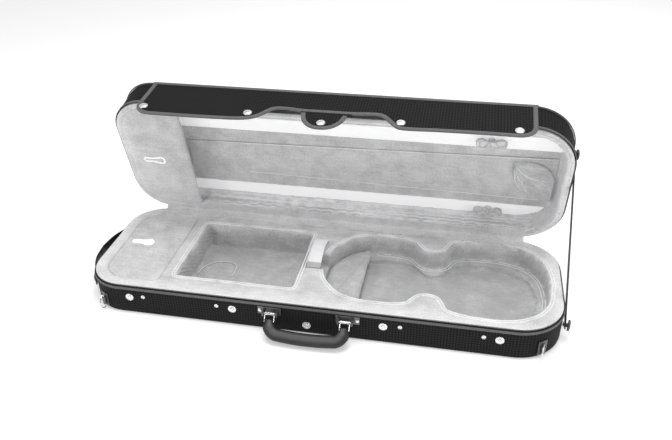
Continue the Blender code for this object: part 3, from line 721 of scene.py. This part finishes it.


# Neck strap. A soft white strap sewn down behind the neck slot and pressed down in front of
# it; its front end, where it bends down, is painted grey as painted shade.
def strap_satin():
    made, shader, place, cloth = begin_finish("strap_satin", sheen_weight=0.3)
    thread = place.axis(1).wave(0.0012)
    crease = place.speckle(0.010, 3)
    # The front end, where the strap bends down, is painted darker as painted shade, and the crease noise
    # darkens the colour as painted shade in creases, besides its bump.
    unshaded_back = place.axis(1).over(-0.0125, 0.0012)
    colour = (unshaded_back * 0.66 + crease * 0.28 + thread * 0.06).tint(0.36, 0.99)
    return settle(made, shader, colour, 0.4 + crease * 0.2, thread * 0.5 + crease, 0.0006)


path = []
for i in range(25):
    share = i / 24
    rise = 0.0112 * math.sin(math.pi * min(share * 1.12, 1.0)) ** 0.8
    path.append((-0.018, 0.062 - 0.086 * share, 0.0618 + rise + 0.0003 * math.sin(share * 17)))
neck_band = tape_loop("neck_band", path, (0.0225, 0.0240), 0.0024)
fit(neck_band, strap_satin(), "strap_over_neck", ["neck_strap"])


# Press studs and eyelets. Nickel-plated studs on ringed flanges riveted through the front
# wall, with a small rolled eyelet beside each of the outer four.
SNAP_X = -0.0077
SNAP_PLACES = [(SNAP_X + step, 0.035) for step in (-0.3081, -0.1258, 0.1258, 0.3081)]
SNAP_PLACES.insert(2, (SNAP_X, 0.019))
EYELET_PLACES = [(SNAP_X + step, 0.038) for step in (-0.2833, -0.1528, 0.1528, 0.2833)]


def nickel(name="nickel_plate", tone=0.78, rough=0.17):
    made, shader, place, cloth = begin_finish(name, metallic=1.0)
    haze = place.speckle(0.004, 4)
    scratch = place.add("Mapping", {"Vector": place, "Scale": (1.0, 6.0, 0.4)}).speckle(0.0016, 3)
    colour = (haze * 0.6 + scratch * 0.4).tint(tone * 0.82, tone * 1.12)
    return settle(made, shader, colour, rough + haze * 0.16, scratch * 0.6 + haze, 0.00008)


def turned(name, profile, place, toward, steps=28):
    """A turned piece from (radius, distance out) pairs, its first and last on a tiny flat."""
    turn = Vector((0, 0, 1)).rotation_difference(Vector(toward)).to_matrix()
    rings = []
    for radius, along in profile:
        ring = level(arc((0, 0), radius, 0, 360, steps)[:-1], along)
        rings.append([Vector(place) + turn @ Vector(p) for p in ring])
    return draw_up(name, rings, angle=35)


plate = nickel()
flange = [(0.0070, 0), (0.0071, 0.0004), (0.0068, 0.0008), (0.0061, 0.0010)]
groove = [(0.0057, 0.0007), (0.0053, 0.0007), (0.0050, 0.0011), (0.0038, 0.0012), (0.0031, 0.0010)]
knob = [(0.0028, 0.0013), (0.0025, 0.0019), (0.0028, 0.0025), (0.0027, 0.0028), (0.0021, 0.0029)]
stud_profile = flange + groove + knob + [(0.0010, 0.0028), (0.0008, 0.0024), (0.0003, 0.0023)]
for number, (x, z) in enumerate(SNAP_PLACES, 1):
    stud = turned(f"press_stud_{number}", stud_profile, (x, FRONT - 0.0003, z), (0, -1, 0))
    fit(stud, plate, "base", [f"snap_stud_{number}"])
eyelet_profile = [(0.0038, 0), (0.0038, 0.0005), (0.0034, 0.0011), (0.0028, 0.0014)]
eyelet_profile += [(0.0021, 0.0012), (0.0016, 0.0006), (0.0003, 0.0005)]
for number, (x, z) in enumerate(EYELET_PLACES, 1):
    ringlet = turned(f"rolled_eyelet_{number}", eyelet_profile, (x, FRONT - 0.0003, z), (0, -1, 0), 20)
    fit(ringlet, plate, "base", [f"eyelet_{number}"])


# Handle. Two dark plates, each riveted to the front wall at its outer end, hold bright squared
# rings in a sleeve, and the padded grip of black leather is folded round each ring's lower bar.
HANDLE_X, HANDLE_Y, HANDLE_Z = -0.004, FRONT - 0.0085, 0.0415
dark_nickel = nickel("dark_nickel", 0.16, 0.38)
face_with(dark_nickel, "handle_plate_left", "handle_plate_right")
face_with(plate, "handle_ring_left", "handle_ring_right")
RING_X, RIVET_X, SLEEVE = 0.0620, 0.0805, 0.0168
rivet_profile = [(0.0036, 0), (0.0035, 0.0009), (0.0027, 0.0018), (0.0012, 0.0022), (0.0003, 0.0022)]
sleeve_profile = [(0.0003, 0), (0.0022, 0), (0.0027, 0.0006), (0.0027, SLEEVE - 0.0006)]
sleeve_profile += [(0.0022, SLEEVE), (0.0003, SLEEVE)]
for side, name in ((-1, "left"), (1, "right")):
    spot = (HANDLE_X + side * RIVET_X, FRONT - 0.0016, HANDLE_Z)
    rivet = turned(f"plate_rivet_{name}", rivet_profile, spot, (0, -1, 0), 20)
    fit(rivet, plate, "base", [])
    start = (HANDLE_X + side * RING_X - SLEEVE / 2, HANDLE_Y, HANDLE_Z)
    sleeve = turned(f"ring_sleeve_{name}", sleeve_profile, start, (1, 0, 0), 20)
    fit(sleeve, plate, "handle", [])


def black_leather(name, highlight_strength):
    """Grained leather. The second argument sets how strongly one line along the sewn piece is painted
    lighter, as a painted highlight.
    """
    shine = {"coat_weight": 0.15, "coat_roughness": 0.25, "specular_ior_level": 0.25}
    made, shader, place, cloth = begin_finish(name, **shine)
    cells = place.add("TexVoronoi", {"Vector": place, "Scale": 900.0}, feature="F1")
    worn = place.speckle(0.012, 4)
    # A painted highlight along one line of the sewn piece, near its inner front edge.
    painted_highlight_band = 1 - cloth.maths("ABSOLUTE", cloth.axis(0) - 0.0290).over(0.0028, 0.0026)
    colour = (worn * 0.22 + cells * 0.08 + painted_highlight_band * highlight_strength).tint(0.003, 0.105)
    return settle(made, shader, colour, 0.30 + worn * 0.28, cells * 0.7 + worn * 0.3, 0.0003)


HANG_ANGLE = 39.5
hung = Matrix.Translation((0, HANDLE_Y, HANDLE_Z)) @ Matrix.Rotation(math.radians(-HANG_ANGLE), 4, "X")
half = [(RING_X, 0.0095), *arc((0.0440, 0.0148), 0.0180, 0, 84, 6), (0.0220, 0.0345), (0.0, 0.0350)]
path = spline(half + [(-a, s) for a, s in reversed(half[:-1])], 6)


def grip_section(share):
    """A flattened oval with a groove beside each edge, slimmer at the folded ends."""
    swell = min(1.0, 0.60 + 3.2 * min(share, 1 - share))
    points = []
    for i in range(40):
        turn = math.tau * i / 40
        across, thick = math.cos(turn), math.sin(turn)
        groove = 1 - 0.10 * math.exp(-(((abs(across) - 0.80) / 0.055) ** 2))
        full = abs(thick) ** 0.75 * math.copysign(1, thick)
        points.append((0.0104 * swell * across, 0.0084 * swell * full * groove))
    return points


path = [(HANDLE_X - across, 0, -down) for across, down in path]
padded_grip = sweep("padded_grip", path, grip_section, up=(0, 1, 0))
# The grip gets the painted highlight band, and the end loop gets none.
fit(padded_grip, black_leather("grip_leather", 0.7), "handle", ["handle_grip"], hung)


# Strap rings. A dark tab riveted to each front corner of the base holds a bright D-ring, for a
# shoulder strap. The two rings lean as they happened to be left.
face_with(dark_nickel, "d_tab_left", "d_tab_right")
face_with(plate, "d_ring_left", "d_ring_right")


# End loop. A bowed strip of black leather on the left end, each foot held by a domed stud.
wall_x, level_z = -LENGTH / 2, 0.034
half = [(0.0040, 0.0905), (-0.0020, 0.0780), (-0.0060, 0.0680)]
half += [(-0.0140, 0.0530), (-0.0215, 0.0320), (-0.0255, 0.0)]
near = spline(half, 6)
path = [(wall_x + a, -b, level_z) for a, b in near + [(a, -b) for a, b in reversed(near[:-1])]]


def loop_section(share):
    """A flat strip with rounded edges and a raised middle."""
    face = [(1.0, -0.5), (1.0, 0.5), (0.7, 0.8), (0.75, 0.95), (0.0, 1.0)]
    face += [(-0.75, 0.95), (-0.7, 0.8), (-1.0, 0.5)]
    back = [(-1.0, -0.5), (-0.95, -0.9), (0.0, -1.0), (0.95, -0.9)]
    return [(0.0016 * out, 0.0098 * across) for across, out in face + back]


end_loop = sweep("end_loop", path, loop_section)
fit(end_loop, black_leather("loop_leather", 0.0), "base", ["end_handle"])
face_with(plate, "end_handle_stud_1", "end_handle_stud_2")


# Hinges and gusset. Two butt hinges on the back wall carry the lid, and a strip of velour
# closes the joint from inside, folded along the hinge line.
def turned_about(place, degrees):
    """A turn about a line along x through a place."""
    turn = Matrix.Rotation(math.radians(degrees), 4, "X")
    return Matrix.Translation(place) @ turn @ Matrix.Translation(-place)


OPENED = turned_about(HINGE, -OPEN_ANGLE)
for number in (1, 2):
    face_with(plate, *(f"hinge_{number}_{part}" for part in ("base_leaf", "lid_leaf", "pin")))


def back_edge(x):
    """How far back the case's plan reaches at x."""
    radius = RIGHT_CORNER if x > 0 else LEFT_CORNER
    past = max(0.0, abs(x) - (LENGTH / 2 - radius))
    return WIDTH / 2 - radius + math.sqrt(radius**2 - past**2)


def valley(x, depth):
    """Across the joint at rest: along the base's lining, into the fold, and up the lid's, where
    it's narrower beside the pocket panel."""
    back = back_edge(x)
    sides = []
    reach = 0.0175 - 0.0125 * min(1.0, max(0.0, (-0.262 - x) / 0.015))
    for i in range(9):
        crease = depth + 0.0004 * (depth > 0.001) * math.sin(i * 2.4 + 6 * x)
        y = back - 0.0200 + 0.0175 * i / 8
        lid_y = back - 0.0025 - reach * (1 - i / 8)
        sides.append((Vector((0, y, RIM + crease)), OPENED @ Vector((0, lid_y, RIM + 0.0008 - crease))))
    points = [p for p, q in sides] + [q for p, q in reversed(sides)]
    return [(p.y, p.z) for p in points]


rings = []
for i in range(101):
    x = -0.347 + 0.687 * i / 100
    pucker = 0.00035 * math.sin(i * 1.9) + 0.00025 * math.sin(i * 0.83)
    outer, inner = valley(x, 0.0004), valley(x, 0.0014 + pucker)
    rings.append([(x, y, z) for y, z in outer + list(reversed(inner))])
joint_gusset = draw_up("joint_gusset", rings, angle=60)
fit(joint_gusset, silver, None, ["hinge_gusset"])
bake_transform(joint_gusset)


# Lid cover and edge tapes. The same nylon over the upper plywood tray, with grey tape round its
# rim and a thin piping round its top edge.
LID_DEPTH = 0.0635
lid_profile = [(inset, RIM + LID_DEPTH - height) for inset, height in TRAY_PROFILE]
lid_profile = [(inset, max(z, RIM + 0.0031)) for inset, z in lid_profile]
lid_outside = round_case("lid_outside", lid_profile)
fit(lid_outside, nylon, "lid", ["lid_cover"], OPENED)
lid_edge_tape = tape_ring("lid_edge_tape", RIM + 0.0048, RIM + 0.0097)
fit(lid_edge_tape, tape, "lid", ["lid_binding"], OPENED)
lid_top_tape = tape_ring("lid_top_tape", RIM + LID_DEPTH - 0.0060, RIM + LID_DEPTH - 0.0028, 0.0024)
fit(lid_top_tape, tape, "lid", ["lid_top_piping"], OPENED)


# Lid lining. Velour over foam, rolled over the lid's rim, with the bow hollow in it. Low down,
# where the lid bends away from the joint, long creases are bumped and painted in as shade and highlight.
CLOSED = OPENED.inverted()
lid_plush = upholster("lid_plush", "lid_liner", CLOSED)
co, out = places(lid_plush), faced(lid_plush)
inside = (np.abs(co[:, 1]) < 0.116) * (np.abs(co[:, 0]) < 0.392)
wall = np.clip(1.4 - 2 * np.abs(out[:, 2]), 0, 1) * inside
lift = 0.0004 * ripple(co, 0.06, 11) * inside
lift += 0.0009 * wall * np.sin((co[:, 0] + co[:, 1]) * math.tau / 0.027)
swell(lid_plush, lift)
lid_velour = velour("lid_velour", 0.46, 0.92, creased=True)
fit(lid_plush, lid_velour, "lid", ["lid_liner"], OPENED)
fit(rim_roll("lid_rim_roll", RIM + 0.0019, -1), silver, "lid", [], OPENED)


# Lid pocket panel. A padded board that hangs by its own cloth, sewn down at both ends of its
# right edge, with a loop of narrow white satin to pull it open.
outline = clip(plan(0.0078, x_to=-0.2745), 0.1140, -1, axis=1)
panel_cushion = board_cushion("panel_cushion", outline, -(RIM + 0.0100), -(RIM + 0.0016), 0.0002)
panel_cushion.data.transform(Matrix.Diagonal((1, -1, -1, 1)))
plump(panel_cushion, 0.0032, 0.0003, lambda co: (co[:, 2] > RIM + 0.004).astype(float))
swell(panel_cushion, 0.0002 * ripple(places(panel_cushion), 0.06, 6))
fit(panel_cushion, silver, "lid_panel", ["lid_pocket_panel"], OPENED)
path = arc((-0.3310, 0.0045), 0.0070, -125, 125, 12)
path += [(-0.348, 0.0080), (-0.3610, 0.0085), (-0.3655, 0.0045), (-0.3610, 0.0005), (-0.348, 0.0010)]
panel_tab = sweep("panel_tab", level(path, RIM + 0.0009), lambda share: oval(0.0034, 0.0008), closed=True)
fit(panel_tab, satin, "lid_panel", ["lid_pocket_tab"], OPENED)


# Bow bands. Satin-covered strips across the lid's floor that the bow sticks rest on.
LID_FLOOR = RIM + 0.046
DIVIDER = -0.296
for name, low, high in (("lower", 0.0850, 0.1100), ("upper", -0.0755, -0.0470)):
    outline = clip(clip(plan(0.0147, x_from=DIVIDER), low, 1, axis=1), high, -1, axis=1)
    middle = (low + high) / 2
    rings = []
    edge = ((1.0, 0.0004), (1.0, 0.0016), (0.93, 0.0022), (0.86, 0.0019))
    for share, rise in edge + ((0.6, 0.0023), (0.3, 0.0025)):
        rings.append([(x, middle + (y - middle) * share, LID_FLOOR - rise) for x, y in outline])
    band = draw_up(f"satin_band_{name}", rings, angle=70)
    fit(band, satin, "lid", [f"bow_band_{name}"], OPENED)


# Pockets. A flat pocket of velour along the lid's floor for papers, with a cord in its long
# edges, and a small fan pocket at its right end, gathered into one corner.
def sewn_patch(name, outline, back, thick, seams):
    """A flat patch of cloth with a turned edge, sewn down round its outline."""
    centre = centre_of(outline)
    rings = []
    for inset, rise in seams:
        ring = []
        for p in outline:
            away = Vector(p) - centre
            ring.append(centre + away * max(0.0, 1 - inset / max(away.length, 1e-6)))
        rings.append([(p.x, p.y, back - rise * thick) for p in ring])
    return draw_up(name, rings, angle=70)


def finely(points, step=0.012):
    """More corners along the straight sides of an outline."""
    found = []
    for here, there in zip(points, points[1:] + points[:1]):
        parts = max(1, round((Vector(there) - Vector(here)).length / step))
        found += [tuple(Vector(here).lerp(Vector(there), i / parts)) for i in range(parts)]
    return found


seams = ((0.0, 0.2), (0.0, 0.5), (0.0012, 0.8), (0.0040, 0.9), (0.016, 1.0))
outline = finely([(-0.293, 0.052), (-0.293, -0.014), (0.380, -0.031), (0.380, 0.068)])
outline = list(reversed(outline))
paper_pocket = sewn_patch("paper_pocket", outline, LID_FLOOR - 0.0001, 0.0026, seams)
fit(paper_pocket, lid_velour, "lid", ["document_pocket"], OPENED)
for number, ends in enumerate((
    ((-0.235, -0.0150), (0.376, -0.0300)),
    ((-0.180, 0.0540), (0.376, 0.0670)),
), 1):
    line = level(even(ends, 0.02), LID_FLOOR - 0.0027)
    cord(f"pocket_seam_{number}", line, 0.0016, 0.0010, body="lid", opened=OPENED)
edge = spline([(0.306, -0.021), (0.330, -0.023), (0.352, -0.018), (0.368, -0.006), (0.379, 0.014)], 6)
inner = spline([(0.379, 0.064), (0.346, 0.060), (0.322, 0.040), (0.306, 0.008)], 6)
outline = finely(edge + inner, 0.004)
gather = Vector((0.309, -0.016))
rings = []
hem = ((1.0, 0.003), (1.0, 0.006), (0.985, 0.0075), (0.95, 0.0078))
cloth_rise = ((0.93, 0.0066), (0.85, 0.0072), (0.6, 0.0078), (0.3, 0.0072), (0.05, 0.0062))
for share, rise in hem + cloth_rise:
    ring = []
    for p in outline:
        away = Vector(p) - gather
        turn = math.atan2(away.y, away.x)
        pleat = 0.0011 * math.sin(turn * 34) * (share < 0.94) * min(1, 4 * share)
        place = gather + away * share
        ring.append((place.x, place.y, LID_FLOOR - rise - pleat))
    rings.append(ring)
gathered_fan = draw_up("gathered_fan", rings, angle=80)
fit(gathered_fan, lid_velour, "lid", ["fan_pocket"], OPENED)


def fold_of(thick):
    """A fold of cloth, fullest halfway along it and thin at both ends."""
    return lambda share: oval(thick * (1.15 - abs(2 * share - 1)), 0.0018)


for number, (ends, thick) in enumerate((
    ([(0.3095, -0.0155), (0.325, 0.004), (0.347, 0.0145), (0.3785, 0.0165)], 0.0032),
    ([(0.3095, -0.0150), (0.3145, 0.008), (0.326, 0.026), (0.343, 0.036)], 0.0020),
    ([(0.3090, -0.0140), (0.3100, 0.010), (0.318, 0.032), (0.330, 0.046)], 0.0020),
), 1):
    line = level(spline(ends, 7), LID_FLOOR - 0.0076)
    # The folds are dressed in the lighter velour: a painted highlight on their crests.
    fold = sweep(f"fan_fold_{number}", line, fold_of(thick))
    fit(fold, highlight_velour, "lid", [], OPENED)


# Bow spinners. Moulded grey turning clips with a raised rim and a vein pattern, each on a
# short boss that stands on its band.
def moulded_grey():
    made, shader, place, cloth = begin_finish("moulded_grey")
    veins = place.add("TexVoronoi", {"Vector": place, "Scale": 70.0}, feature="DISTANCE_TO_EDGE")
    lines = veins.over(0.06, 0.05)
    haze = place.speckle(0.006, 3)
    colour = (lines * 0.35 + haze * 0.25 + 0.3).tint(0.30, 0.86)
    return settle(made, shader, colour, 0.35 + haze * 0.2, lines, 0.0003)


def dark_plastic():
    made, shader, place, cloth = begin_finish("dark_plastic")
    grain = place.speckle(0.0012, 3)
    worn = place.speckle(0.006, 3)
    colour = (grain * 0.4 + worn * 0.6).tint(0.012, 0.05)
    return settle(made, shader, colour, 0.30 + worn * 0.25, grain, 0.00012)


spinner_grey, knob_black = moulded_grey(), dark_plastic()
for name, x, y in (("lower", 0.272, 0.097), ("upper", 0.264, -0.063)):
    foot = LID_FLOOR - 0.0021
    boss_profile = [(0.0062, 0), (0.0060, 0.001), (0.0050, 0.0018), (0.0048, 0.0056), (0.0003, 0.0058)]
    boss = turned(f"spinner_boss_{name}", boss_profile, (x, y, foot), (0, 0, -1))
    fit(boss, spinner_grey, "lid", [f"bow_spinner_{name}_boss"], OPENED)
    quarter = [(0.0265, 0.0), (0.0245, 0.0062), (0.0170, 0.0088), (0.0085, 0.0062), (0.0, 0.0050)]
    quarter = spline(quarter, 6)
    outline = quarter + [(-a, b) for a, b in reversed(quarter[:-1])]
    outline = outline + [(a, -b) for a, b in reversed(outline[1:-1])]
    rings = []
    side = ((0.96, 0.0), (1.0, 0.0008), (1.0, 0.0052), (0.97, 0.0062))
    face = ((0.90, 0.0064), (0.85, 0.0058), (0.80, 0.0050), (0.5, 0.0054), (0.1, 0.0060))
    for share, rise in side + face:
        ring = [(x + a * share, y + b * share) for a, b in outline]
        rings.append(level(ring, foot - 0.0062 - rise))
    spinner = draw_up(f"turning_clip_{name}", rings, angle=35)
    fit(spinner, spinner_grey, f"spinner_{name}", [f"bow_spinner_{name}"], OPENED)


# Front flap. Two layers of nylon over stiff board, hung along the lid's front edge, its edge
# and its middle tongue bound with grey tape, with the caps of the five press studs.
FLAP_FACE, FLAP_THICK = FRONT - 0.0035, 0.0018
FLAP_AXIS = Vector((0.0, FLAP_FACE - FLAP_THICK / 2, RIM + 0.0575))
FLAP_FLARE = 7
FLARED = OPENED @ turned_about(FLAP_AXIS, -FLAP_FLARE)


def flap_edge():
    """The flap's free edge from its top left round to its top right, as x and height."""
    left = arc((-0.300, 0.0420), 0.0290, 180, 265, 12)
    to_notch = [(-0.270, 0.0128), (-0.200, 0.0132), (-0.142, 0.0160), (-0.116, 0.0260)]
    to_notch += [(-0.094, 0.0530), (-0.072, 0.0550), (-0.0475, 0.0520)]
    from_notch = [(0.0385, 0.0520), (0.068, 0.0545), (0.086, 0.0525), (0.106, 0.0280)]
    from_notch += [(0.122, 0.0178), (0.180, 0.0195), (0.250, 0.0205)]
    right = arc((0.300, 0.0480), 0.0280, 275, 360, 12)
    return left + spline(to_notch, 9), spline(from_notch, 9) + right


left_edge, right_edge = flap_edge()
tongue = [(-0.0455, 0.0460), (-0.0400, 0.0250), (-0.0260, 0.0080), (-0.0080, 0.0030)]
tongue = spline(tongue + [(0.0110, 0.0080), (0.0245, 0.0250), (0.0300, 0.0460)], 9)
FLAP_TOP, FLAP_END = FLAP_AXIS.z - 0.0015, 0.329
top_left, top_right = (-FLAP_END, FLAP_TOP), (FLAP_END, FLAP_TOP)
outline = [top_left] + left_edge + tongue + right_edge + [top_right]
outline += [(FLAP_END * (1 - 2 * i / 40), FLAP_TOP) for i in range(1, 40)]
sheet_front = [(x, FLAP_FACE - FLAP_THICK + 0.0002, z) for x, z in outline]
sheet_back = [(x, FLAP_FACE - 0.0002, z) for x, z in outline]
flap_sheet = draw_up("flap_sheet", [sheet_back, sheet_front], angle=30)
for face in flap_sheet.data.polygons:
    for i in face.loop_indices:
        corner = flap_sheet.data.vertices[flap_sheet.data.loops[i].vertex_index].co
        flap_sheet.data.uv_layers["cloth"].data[i].uv = (corner.x, corner.z)
fit(flap_sheet, nylon, "flap", ["front_flap"], FLARED)
middle_y = FLAP_FACE - FLAP_THICK / 2


def fold_section(share):
    """Tape folded over an edge into a full roll, with a sewn groove along its inner side."""
    w, t = 0.0036, 0.0019
    roll = [(1.0, 0.4), (0.8, 0.85), (0.35, 1.0), (0, 0.8), (-0.3, 1.0), (-0.75, 0.85), (-1.0, 0.62)]
    front = [(w * across, t * out) for across, out in roll]
    return [(w, -t * 0.4), *front, *((across, -out) for across, out in reversed(front[1:]))]


edge = even([top_left] + left_edge + right_edge + [top_right], 0.0035)
for name, line in (("flap_binding", edge), ("tongue_binding", even(tongue, 0.0025))):
    bound = [(x, middle_y, z) for x, z in offset(line, -0.0030)]
    strip = sweep(name, bound, fold_section, up=(0, 1, 0))
    fit(strip, tape, "flap", [], FLARED)
hem = [(-0.331 + 0.662 * i / 60, middle_y, FLAP_TOP - 0.0012) for i in range(61)]
flap_hem = sweep("flap_hem", hem, fold_section, up=(0, 1, 0))
fit(flap_hem, tape, "flap", [], FLARED)
cap_profile = [(0.0072, 0), (0.0075, 0.0004), (0.0073, 0.0012), (0.0066, 0.0019), (0.0058, 0.0017)]
cap_profile += [(0.0054, 0.0019), (0.0044, 0.0024), (0.0022, 0.0026), (0.0003, 0.0026)]
cap_nickel = nickel("cap_nickel", 0.92, 0.34)
for number, (x, z) in enumerate(SNAP_PLACES, 1):
    cap = turned(f"press_cap_{number}", cap_profile, (x, FLAP_FACE - FLAP_THICK - 0.0001, z), (0, -1, 0))
    fit(cap, cap_nickel, "flap", [f"snap_cap_{number}"], FLARED)


# Stay. A black webbing strap that stops the lid, held at each end by a headed black stud that
# stands on a bright washer on the wall.
STAY_TURN = math.radians(-11)
base_out = Vector((math.cos(STAY_TURN), math.sin(STAY_TURN), 0))
low = Vector((LENGTH / 2 - RIGHT_CORNER, FRONT + RIGHT_CORNER, 0.030)) + base_out * RIGHT_CORNER
high = Vector((LENGTH / 2, WIDTH / 2 - 0.166, RIM + 0.048))
for name, foot, toward, shank, body, opened in (
    ("base", low, base_out, 0.0082, "base", None),
    ("lid", high, Vector((1, 0, 0)), 0.0050, "lid", OPENED),
):
    washer_profile = [(0.0058, 0), (0.0058, 0.0009), (0.0046, 0.0012), (0.0033, 0.0012), (0.0003, 0.0012)]
    washer = turned(f"stay_washer_{name}", washer_profile, foot + toward * 0.0003, toward)
    fit(washer, plate, body, [], opened)
    profile = [(0.0032, 0.0010), (0.0032, shank), (0.0084, shank)]
    profile += [(0.0092, shank + 0.0008), (0.0092, shank + 0.0025), (0.0082, shank + 0.0036)]
    profile += [(0.0052, shank + 0.0044), (0.0003, shank + 0.0045)]
    knob = turned(f"stay_knob_{name}", profile, foot + toward * 0.0003, toward)
    fit(knob, knob_black, body, [f"stay_stud_{name}"], opened)


def webbing():
    made, shader, place, cloth = begin_finish("black_webbing", sheen_weight=0.2)
    rib = cloth.axis(1).wave(0.0017)
    yarn = place.speckle(0.0010, 2)
    colour = (rib * 0.6 + yarn * 0.4).tint(0.010, 0.055)
    return settle(made, shader, colour, 0.6 + yarn * 0.2, rib + yarn * 0.4, 0.0004)


high = OPENED @ high
high.x = LENGTH / 2 + 0.0033
low = low + base_out * ((high.x - low.x) / base_out.x)
ahead = (high - low).normalized()
STAY_END = 0.0072
stay_length = (high - low).length + 2 * STAY_END
path = [low + ahead * (stay_length * i / 60 - STAY_END) for i in range(61)]


def web_section(share):
    """Flat webbing, rounded off at its two cut ends."""
    end = min(share, 1 - share) * stay_length
    w = 0.0060 * math.sqrt(max(0.08, 1 - max(0.0, 1 - end / 0.006) ** 2))
    face = [(w, 0.0003), (w * 0.9, 0.00085), (-w * 0.9, 0.00085), (-w, 0.0003)]
    return [(w, -0.0003), *face, (-w, -0.0003), (-w * 0.9, -0.00085), (w * 0.9, -0.00085)]


stay_web = sweep("stay_web", path, web_section, up=(1, 0, 0))
fit(stay_web, webbing(), None, ["stay_strap"])
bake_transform(stay_web)
